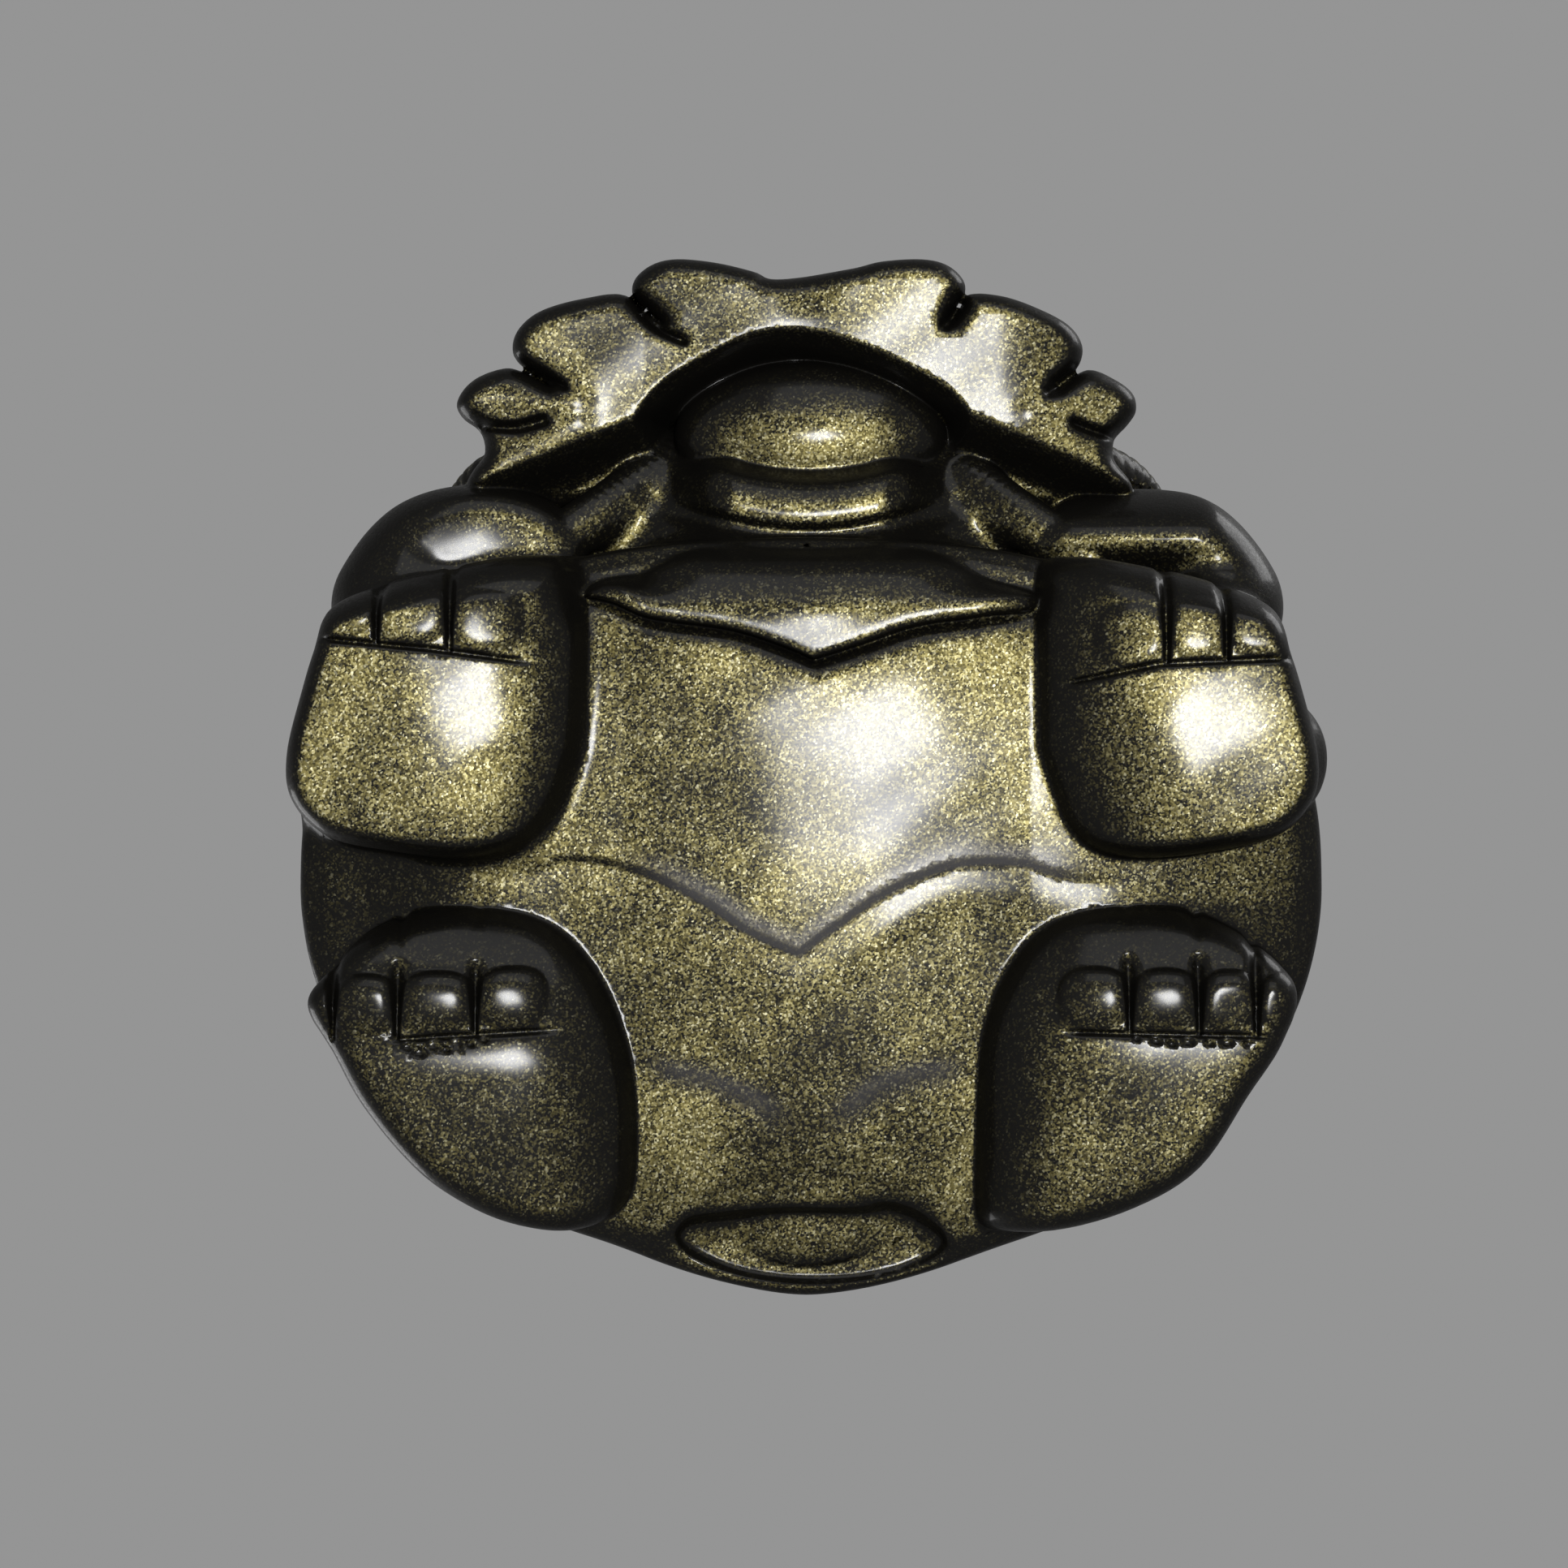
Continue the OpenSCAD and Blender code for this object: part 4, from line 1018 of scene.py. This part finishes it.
def split(pts, normals, skin, tris, fronts, backs, least):
    """Halves the skin's edges where the skin bends between their ends, and every triangle on them."""
    sides = np.stack([tris, np.roll(tris, -1, axis=1)], axis=2).reshape(-1, 2)
    pairs, index = np.unique(np.sort(sides, axis=1), axis=0, return_inverse=True)
    index = index.reshape(-1, 3)
    on_skin = np.zeros(len(pairs), bool)
    on_skin[index[backs == 0].ravel()] = True
    a, b = pairs[:, 0], pairs[:, 1]
    length = np.linalg.norm(pts[a] - pts[b], axis=1)
    wanted = on_skin & (length > 2 * least[np.minimum(a, b)])
    test = np.flatnonzero(wanted)
    middle = (pts[a[test]] + pts[b[test]]) / 2
    off = np.abs(stone(middle))
    turn = (normals[a[test]] * normals[b[test]]).sum(axis=1)
    keep = (off > SKIN_MISS) | (turn < SKIN_BEND)
    test, middle = test[keep], middle[keep]
    new_id = np.full(len(pairs), -1)
    new_id[test] = len(pts) + np.arange(len(test))
    middle = settle(middle, 2)
    pts = np.concatenate([pts, middle])
    normals = np.concatenate([normals, unit(slope(middle, NORMAL_REACH)[1])])
    skin = np.concatenate([skin, np.ones(len(middle), bool)])
    least = np.concatenate([least, least[a[test]]])

    cut = new_id[index]
    marks = (cut >= 0).sum(axis=1)
    parts = [(tris[marks == 0], marks == 0)]
    for turned in range(3):
        both = np.concatenate([np.roll(tris, -turned, axis=1), np.roll(cut, -turned, axis=1)], axis=1)
        one = (marks == 1) & (both[:, 3] >= 0)
        two = (marks == 2) & (both[:, 5] < 0)
        parts += [(both[one][:, corners], one) for corners in ONE_CUT]
        parts += [(both[two][:, corners], two) for corners in TWO_CUTS]
    three = marks == 3
    both = np.concatenate([tris, cut], axis=1)
    parts += [(both[three][:, corners], three) for corners in THREE_CUTS]
    tris = np.concatenate([part for part, which in parts])
    fronts = np.concatenate([fronts[which] for part, which in parts])
    backs = np.concatenate([backs[which] for part, which in parts])
    return pts, normals, skin, tris, fronts, backs, least


def build_skin():
    """The skin and the faces between the forms, as triangles with a form on one side or on both."""
    low, g, owner = sample()
    owner = drop_specks(owner)
    pts, quads, fronts, backs = skin_net(low, g, owner)
    skin = np.zeros(len(pts), bool)
    skin[quads[backs == 0].ravel()] = True
    pts = relax(pts, quad_pairs(quads), ~skin, 4)
    pts = relax(pts, quad_pairs(quads[backs == 0]), skin, 1)
    pts[skin] = settle(pts[skin])
    first = np.linalg.norm(pts[quads[:, 0]] - pts[quads[:, 2]], axis=1)
    second = np.linalg.norm(pts[quads[:, 1]] - pts[quads[:, 3]], axis=1)
    short = first <= second
    halves = [np.where(short[:, None], quads[:, [0, 1, 2]], quads[:, [0, 1, 3]]),
              np.where(short[:, None], quads[:, [0, 2, 3]], quads[:, [1, 2, 3]])]
    tris = np.concatenate(halves)
    fronts, backs = np.tile(fronts, 2), np.tile(backs, 2)
    normals = np.zeros(pts.shape)
    normals[skin] = unit(slope(pts[skin], NORMAL_REACH)[1])
    least = np.where(pts[:, 2] > ABOVE_Z, FINEST_EDGE_ABOVE, FINEST_EDGE)
    net = (pts, normals, skin, tris, fronts, backs, least)
    for _ in range(SPLIT_ROUNDS):
        net = split(*net)
    return net[:-1]


# How gold with its painted sheen and shade, the painted grey veil and polish are shared out

# The gold lies in sheets, and this points across them; the painted sheen is brightest on faces that look
# along it
SHEET = np.array((0.0, -0.09, 0.996))
# Painted light falloff: how much of the gold is left at the front and at the back
PAINTED_LIGHT_FRONT, PAINTED_LIGHT_BACK = 1.0, 0.76
# How much darker some places are painted: painted shade at the rear left corner, a painted shadow on
# the shell's left side and lighter painted shade on its right side, painted shade on the rear toes and
# the beard's middle, darker along the lip, and painted shade in the band along the belly's rearmost line
SHADE_CORNER, SHADOW_LEFT, SHADE_RIGHT = 0.3, 0.75, 0.3
SHADE_TOES, SHADE_BEARD, DARKER_LIP, SHADE_BAND = 0.55, 0.45, 0.3, 0.5
# How strong the painted grey veil is: a painted reflection along the middle pointed line, painted shade
# along the rearmost one
PAINTED_VEIL_MIDDLE, PAINTED_VEIL_LOW = 0.7, 0.4
# How far a face turns from upright between no polish and the best
POLISH_TURN = (0.6, 0.93)


def off_feet(x, y):
    """0 on the feet and 1 away from them, in plan."""
    gap = np.minimum.reduce([facts["plan"](x, y) for facts in FEET.values()])
    return ramp(gap, -0.4, 0.4)


def low_band(x, y):
    """The band along the belly's rearmost pointed line, without its middle and its ends, where painted
    shade goes.
    """
    return bump(low_vee(x, y) + 0.5, 1.0) * ramp(np.abs(np.abs(x) - 7.5), 7.0, 3.0)


def gold_share(pts, normals):
    """How much gold is painted: a painted sheen, gold on faces that lie along the sheets and black on faces
    that turn away, with painted light falloff and painted shade in places.
    """
    x, y, z = pts.T
    ax = np.abs(x)
    level = np.abs(normals @ SHEET)
    # Painted light falloff: brighter at the front and darker towards the back
    painted_light = lerp(PAINTED_LIGHT_FRONT, PAINTED_LIGHT_BACK, ramp(y, -6.0, 24.0))
    # Painted shade at the rear left corner
    painted_light = painted_light - SHADE_CORNER * ramp(x, -12.0, -26.0) * ramp(y, 8.0, 20.0)
    # A painted shadow on the shell's left side and lighter painted shade on its right side, away from the
    # feet
    shell_side_shade = lerp(SHADOW_LEFT, SHADE_RIGHT, ramp(x, -1.0, 1.0)) * ramp(ax, 27.0, 31.0) * off_feet(x, y)
    # Painted shade on the rear toes, which slope away
    rear_toe_shade = SHADE_TOES * ramp(ax - 19.0 - np.maximum(15.5 - y, 0.0), 0.0, 1.5)
    rear_toe_shade = rear_toe_shade * ramp(np.abs(y - 16.0), 5.2, 4.6)
    # Painted shade on the beard's middle, by the hollow behind the chin
    beard_middle_shade = SHADE_BEARD * bump(x, 9.0) * ramp(y, -31.0, -36.0)
    # Darker along the lip
    lip = DARKER_LIP * ramp(neck_vee(x, y), 0.2, -0.4) * ramp(y, -20.0, -17.0) * ramp(ax, 19.0, 17.0)
    # These, and painted shade in the band along the belly's rearmost line, darken the gold
    for darkening in (shell_side_shade, rear_toe_shade, beard_middle_shade, lip, SHADE_BAND * low_band(x, y)):
        painted_light = painted_light * (1.0 - darkening)
    # Painted sheen on faces that look down: gold where they lie along the sheets, black where they turn
    # away
    below = painted_light * (0.5 * ramp(level, 0.92, 0.99) + 0.36 * ramp(level, 0.84, 0.97))
    # A dim painted sheen on slopes, stronger at the throat
    throat = ramp(y, -11.5, -13.5) * ramp(ax, 20.0, 17.0) * ramp(z, 14.0, 12.0)
    below = below + (0.14 + 0.12 * throat) * ramp(level, 0.45, 0.9)
    # Painted shade in the hollow behind the chin
    below = below * (1.0 - ramp(-chin_plan(x, y), 0.3, 1.5) * ramp(z, 14.6, 15.6))
    # Painted sheen on faces that look up, over a dim gold everywhere
    above = 0.34 + 0.5 * ramp(level, 0.55, 0.95)
    # The upper painted sheen is taken by faces that look up, by faces high up unless they look steeply
    # down, and by upright faces above the rim's height
    up = normals[:, 2]
    high, low = ramp(z, 17.0, 24.0) * ramp(up, -0.7, -0.2), ramp(z, 10.8, 13.0) * ramp(up, -0.1, 0.1)
    top = np.maximum(high, low)
    return lerp(below, above, np.maximum(top, ramp(up, -0.02, 0.3)))


def shine_share(normals):
    """Where the polish is at its best: on the faces that look down or up."""
    return ramp(np.abs(normals[:, 2]), *POLISH_TURN)


def painted_veil_share(pts):
    """A painted grey veil on the upper side of the belly's pointed lines: a painted reflection along the
    middle line and painted shade along the rearmost one.
    """
    x, y, z = pts.T
    low = ramp(z, 9.0, 7.0) * off_feet(x, y)
    q = middle_vee(x, y)
    middle = PAINTED_VEIL_MIDDLE * ramp(q, -2.6, -0.9) * ramp(q, 0.3, -0.2)
    middle = middle * ramp(x, -17.0, -8.0) * ramp(x, 25.0, 19.0)
    return low * np.clip(middle + PAINTED_VEIL_LOW * low_band(x, y), 0.0, 1.0)


def new_object(name, data):
    obj = bpy.data.objects.new(name, data)
    bpy.context.scene.collection.objects.link(obj)
    return obj


def piece(number, node, pts, normals, looks, tris, fronts, backs, material):
    """One form's share of the skin, closed by the faces it has in common with its neighbours."""
    outward = fronts == number
    inward = backs == number
    mine = np.concatenate([tris[outward], tris[inward][:, ::-1]])
    outer = np.concatenate([backs[outward] == 0, np.zeros(inward.sum(), bool)])
    used, index = np.unique(mine, return_inverse=True)
    index = index.reshape(-1, 3)
    mesh = bpy.data.meshes.new(node + "_form")
    mesh.vertices.add(len(used))
    mesh.vertices.foreach_set("co", (pts[used] * MM).ravel())
    mesh.loops.add(index.size)
    mesh.loops.foreach_set("vertex_index", index.ravel())
    mesh.polygons.add(len(index))
    mesh.polygons.foreach_set("loop_start", np.arange(len(index)) * 3)
    mesh.update(calc_edges=True)
    mesh.shade_smooth()
    corner = pts[mine]
    flat = unit(np.cross(corner[:, 1] - corner[:, 0], corner[:, 2] - corner[:, 0]))
    loop_normals = np.where(outer[:, None, None], normals[mine], flat[:, None, :])
    mesh.normals_split_custom_set(loop_normals.reshape(-1, 3).tolist())
    for word, values in looks.items():
        layer = mesh.attributes.new(word, "FLOAT", "POINT")
        layer.data.foreach_set("value", values[used].astype(np.float32))
    mesh.materials.append(material)
    obj = new_object(node + "_form", mesh)
    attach(obj, "root")
    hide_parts(node)
    return len(index)


# The stone's finish

TONES = [
    (0.0, (0.1, 0.081, 0.022, 1)), (0.5, (0.34, 0.29, 0.105, 1)),
    (0.85, (0.64, 0.57, 0.27, 1)), (1.0, (0.96, 0.9, 0.58, 1)),
]
GLASS = (0.006, 0.0055, 0.0045, 1)
# The grey of the painted veil: painted reflection and painted shade along the belly's pointed lines
PAINTED_VEIL_GREY = (0.17, 0.165, 0.17, 1)
# Per metre: the cells that can hold a flake, the patches that flakes gather in, and the fine grain
FLAKE_SCALE, PATCH_SCALE, GRAIN_SCALE = 6200.0, 90.0, 2600.0
# The range of the patches' noise, and the share of the gold that it stands for
PATCH_NOISE, PATCH_SHARE = (0.32, 0.66), (0.45, 1.0)
# How softly a cell turns into a flake, and a flake's metal and roughness
FLAKE_EDGE, FLAKE_METAL, FLAKE_ROUGH = (-0.25, 0.35), 0.9, (0.42, 0.6)
BUMP_STRENGTH, BUMP_DEPTH = 0.35, 0.00008
STONE_IOR, STONE_GLOSS = 1.49, 0.05
POLISH, POLISH_ROUGH, POLISH_IOR = (0.12, 0.42), 0.15, 1.5


def feed(tree, node, inputs):
    """Gives each input its value, or links it to the output that stands for it."""
    for key, value in inputs.items():
        if isinstance(value, bpy.types.NodeSocket):
            tree.links.new(value, node.inputs[key])
        else:
            node.inputs[key].default_value = value


def add(tree, kind, inputs=None, **settings):
    node = tree.nodes.new(kind)
    for key, value in settings.items():
        setattr(node, key, value)
    feed(tree, node, inputs or {})
    return node


def maths(tree, operation, *values):
    return add(tree, "ShaderNodeMath", dict(enumerate(values)), operation=operation).outputs[0]


def spread(tree, value, source=(0.0, 1.0), target=(0.0, 1.0), **settings):
    """Spreads the values of one range over another."""
    inputs = {"Value": value, "From Min": source[0], "From Max": source[1]}
    inputs.update({"To Min": target[0], "To Max": target[1]})
    return add(tree, "ShaderNodeMapRange", inputs, **settings).outputs["Result"]


def new_material(name):
    material = bpy.data.materials.new(name)
    material.use_nodes = True
    return material, material.node_tree, material.node_tree.nodes["Principled BSDF"]


def flake_group():
    """Fine gold flakes in black glass, patchy and a little streaked, with a grain for the bump, and the
    painted grey veil.
    """
    tree = bpy.data.node_groups.new("sheen_flakes", "ShaderNodeTree")
    for name, value in (("Gold With Painted Light", 1.0), ("Painted Veil", 0.0)):
        socket = tree.interface.new_socket(name, in_out="INPUT", socket_type="NodeSocketFloat")
        socket.default_value = value
    for name, kind in (("Color", "Color"), ("Metal", "Float"), ("Rough", "Float"), ("Grain", "Float")):
        tree.interface.new_socket(name, in_out="OUTPUT", socket_type="NodeSocket" + kind)
    given = add(tree, "NodeGroupInput").outputs
    place = add(tree, "ShaderNodeTexCoord").outputs["Object"]

    cells = add(tree, "ShaderNodeTexVoronoi", {"Vector": place, "Scale": FLAKE_SCALE}, feature="F1")
    glint = add(tree, "ShaderNodeSeparateColor", {"Color": cells.outputs["Color"]}).outputs
    cloudy = {"Vector": place, "Scale": PATCH_SCALE, "Detail": 4.0, "Roughness": 0.6}
    cloud = add(tree, "ShaderNodeTexNoise", cloudy)
    patch = spread(tree, cloud.outputs["Fac"], PATCH_NOISE, PATCH_SHARE)
    grain = add(tree, "ShaderNodeTexNoise", {"Vector": place, "Scale": GRAIN_SCALE, "Detail": 2.0})

    # The share of cells that hold a flake follows the gold with its painted sheen and shade, and the
    # patches
    amount = maths(tree, "MULTIPLY", given["Gold With Painted Light"], patch)
    over = maths(tree, "SUBTRACT", amount, glint["Red"])
    flake = spread(tree, over, FLAKE_EDGE)
    lit = maths(tree, "MULTIPLY", flake, amount)

    tone = add(tree, "ShaderNodeValToRGB", {"Fac": glint["Green"]})
    marks = tone.color_ramp.elements
    marks[0].color, marks[1].color = TONES[0][1], TONES[-1][1]
    for spot, color in TONES[1:-1]:
        marks.new(spot).color = color

    mixed = {"Factor": lit, 6: GLASS, 7: tone.outputs["Color"]}
    mixed = add(tree, "ShaderNodeMix", mixed, data_type="RGBA").outputs[2]
    # The painted grey veil: painted reflection at the middle pointed line, painted shade at the rearmost
    veiled = {"Factor": given["Painted Veil"], 6: mixed, 7: PAINTED_VEIL_GREY}
    veiled = add(tree, "ShaderNodeMix", veiled, data_type="RGBA").outputs[2]
    add(tree, "NodeGroupOutput", {
        "Color": veiled,
        "Metal": maths(tree, "MULTIPLY", lit, FLAKE_METAL),
        "Rough": spread(tree, glint["Blue"], target=FLAKE_ROUGH),
        "Grain": maths(tree, "MULTIPLY_ADD", glint["Blue"], 0.5, grain.outputs["Fac"]),
    })
    return tree


def stone_material():
    """The flakes under a thin clear polish. Each mesh says how much gold with painted sheen and shade,
    painted grey veil and shine it has.
    """
    material, tree, shader = new_material(SLOT)
    share = {}
    for word in ("gold", "painted_veil", "shine"):
        share[word] = add(tree, "ShaderNodeAttribute", attribute_name=word).outputs["Fac"]
    shares = {"Gold With Painted Light": share["gold"], "Painted Veil": share["painted_veil"]}
    flakes = add(tree, "ShaderNodeGroup", shares, node_tree=flake_group()).outputs
    bends = {"Strength": BUMP_STRENGTH, "Distance": BUMP_DEPTH, "Height": flakes["Grain"]}
    bend = add(tree, "ShaderNodeBump", bends)
    feed(tree, shader, {
        "Base Color": flakes["Color"],
        "Metallic": flakes["Metal"],
        "Roughness": flakes["Rough"],
        "Normal": bend.outputs["Normal"],
        "IOR": STONE_IOR,
        "Specular IOR Level": STONE_GLOSS,
        "Coat Weight": spread(tree, share["shine"], target=POLISH),
        "Coat Roughness": POLISH_ROUGH,
        "Coat IOR": POLISH_IOR,
    })
    return material


# The pieces

stone_finish = stone_material()
pts, normals, skin, tris, fronts, backs = build_skin()
broad = np.zeros(pts.shape)
broad[skin] = unit(slope(pts[skin], BROAD_REACH)[1])
# Each point's gold with its painted sheen and shade, its painted grey veil and its polish
looks = {
    "gold": np.where(skin, gold_share(pts, broad), 0.0),
    "painted_veil": np.where(skin, painted_veil_share(pts), 0.0),
    "shine": np.where(skin, shine_share(broad), 0.0),
}
faces = 0
for number, node in enumerate(NODES, start=1):
    faces += piece(number, node, pts, normals, looks, tris, fronts, backs, stone_finish)
print("carved forms:", len(NODES), "faces:", faces)


# The room: a pale floor seen from above only, a plain grey backdrop and soft lamps

ROOM_GREY = (0.3, 0.3, 0.3, 1)
ROOM_LIGHT = 0.35
FLOOR_GREY, FLOOR_ROUGH = (0.38, 0.38, 0.375, 1), 0.8
FLOOR_HALF, FLOOR_Z = 3.0, -0.0006
# How far from its middle the floor starts and ends to fade into the room
FLOOR_FADE = (0.12, 0.6)


def floor():
    half = FLOOR_HALF
    mesh = bpy.data.meshes.new("floor")
    corners = [(x, y, FLOOR_Z) for x, y in ((-half, -half), (half, -half), (half, half), (-half, half))]
    mesh.from_pydata(corners, [], [(0, 1, 2, 3)])
    obj = new_object("floor", mesh)
    material, tree, paper = new_material("floor_paper")
    feed(tree, paper, {"Base Color": FLOOR_GREY, "Roughness": FLOOR_ROUGH})
    place = add(tree, "ShaderNodeTexCoord").outputs["Object"]
    away = add(tree, "ShaderNodeVectorMath", {0: place}, operation="LENGTH").outputs["Value"]
    fade = spread(tree, away, FLOOR_FADE, interpolation_type="SMOOTHSTEP")
    far = add(tree, "ShaderNodeEmission", {"Color": ROOM_GREY})
    ground = add(tree, "ShaderNodeMixShader", {0: fade, 1: paper.outputs[0], 2: far.outputs[0]})
    clear = add(tree, "ShaderNodeBsdfTransparent")
    behind = add(tree, "ShaderNodeNewGeometry").outputs["Backfacing"]
    mix = add(tree, "ShaderNodeMixShader", {0: behind, 1: ground.outputs[0], 2: clear.outputs[0]})
    feed(tree, tree.nodes["Material Output"], {"Surface": mix.outputs[0]})
    mesh.materials.append(material)
    obj.visible_diffuse = False
    obj.visible_glossy = False
    obj.visible_shadow = False
    obj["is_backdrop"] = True


def backdrop():
    """A plain grey room. It lights the stone less than it shows."""
    world = bpy.data.worlds.new("room")
    world.use_nodes = True
    bpy.context.scene.world = world
    tree = world.node_tree
    rays = add(tree, "ShaderNodeLightPath").outputs
    seen = maths(tree, "MAXIMUM", rays["Is Camera Ray"], rays["Is Glossy Ray"])
    seen = maths(tree, "MAXIMUM", seen, rays["Is Transmission Ray"])
    strength = spread(tree, seen, target=(ROOM_LIGHT, 1.0))
    feed(tree, tree.nodes["Background"], {"Color": ROOM_GREY, "Strength": strength})


# Each lamp: its name, its place, its side and its power. All of them point at the stone's middle
LAMPS = [
    ("window", (0.030, -0.020, -0.420), 0.066, 0.8),
    ("head_panel", (0.05, -0.30, -0.28), 0.30, 0.3),
    ("overhead", (0.0, 0.0, 0.90), 0.20, 4.2),
    ("side_right", (1.1, -0.9, 0.8), 0.80, 16.0),
    ("side_left", (-1.1, 0.7, 0.8), 0.80, 16.0),
]
MIDDLE = Vector((0.0, 0.0, 0.012))

floor()
backdrop()
for name, place, size, power in LAMPS:
    lamp_data = bpy.data.lights.new(name, "AREA")
    lamp_data.shape = "RECTANGLE"
    lamp_data.size = lamp_data.size_y = size
    lamp_data.energy = power
    lamp = new_object(name, lamp_data)
    lamp.location = place
    lamp.rotation_euler = (MIDDLE - Vector(place)).to_track_quat("-Z", "Y").to_euler()


# The camera looks up at the belly, with the head at the top of the picture

CAMERA_PLACE = (-0.0020, 0.0011, -0.300)
SENSOR_W, LENS = 36.0, 83.85
camera_data = bpy.data.cameras.new("camera")
camera_data.sensor_width = SENSOR_W
camera_data.lens = LENS
camera_data.clip_start = 0.01
camera = new_object("camera", camera_data)
camera.location = CAMERA_PLACE
camera.rotation_euler = (math.pi, 0.0, 0.0)
bpy.context.scene.camera = camera
bpy.context.scene.view_settings.view_transform = "Standard"


def plain(bounds):
    return json.loads(json.dumps(bounds, default=lambda v: [float(c) for c in v]))


{"frame": plain(first_bounds), "visual": plain(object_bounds())}
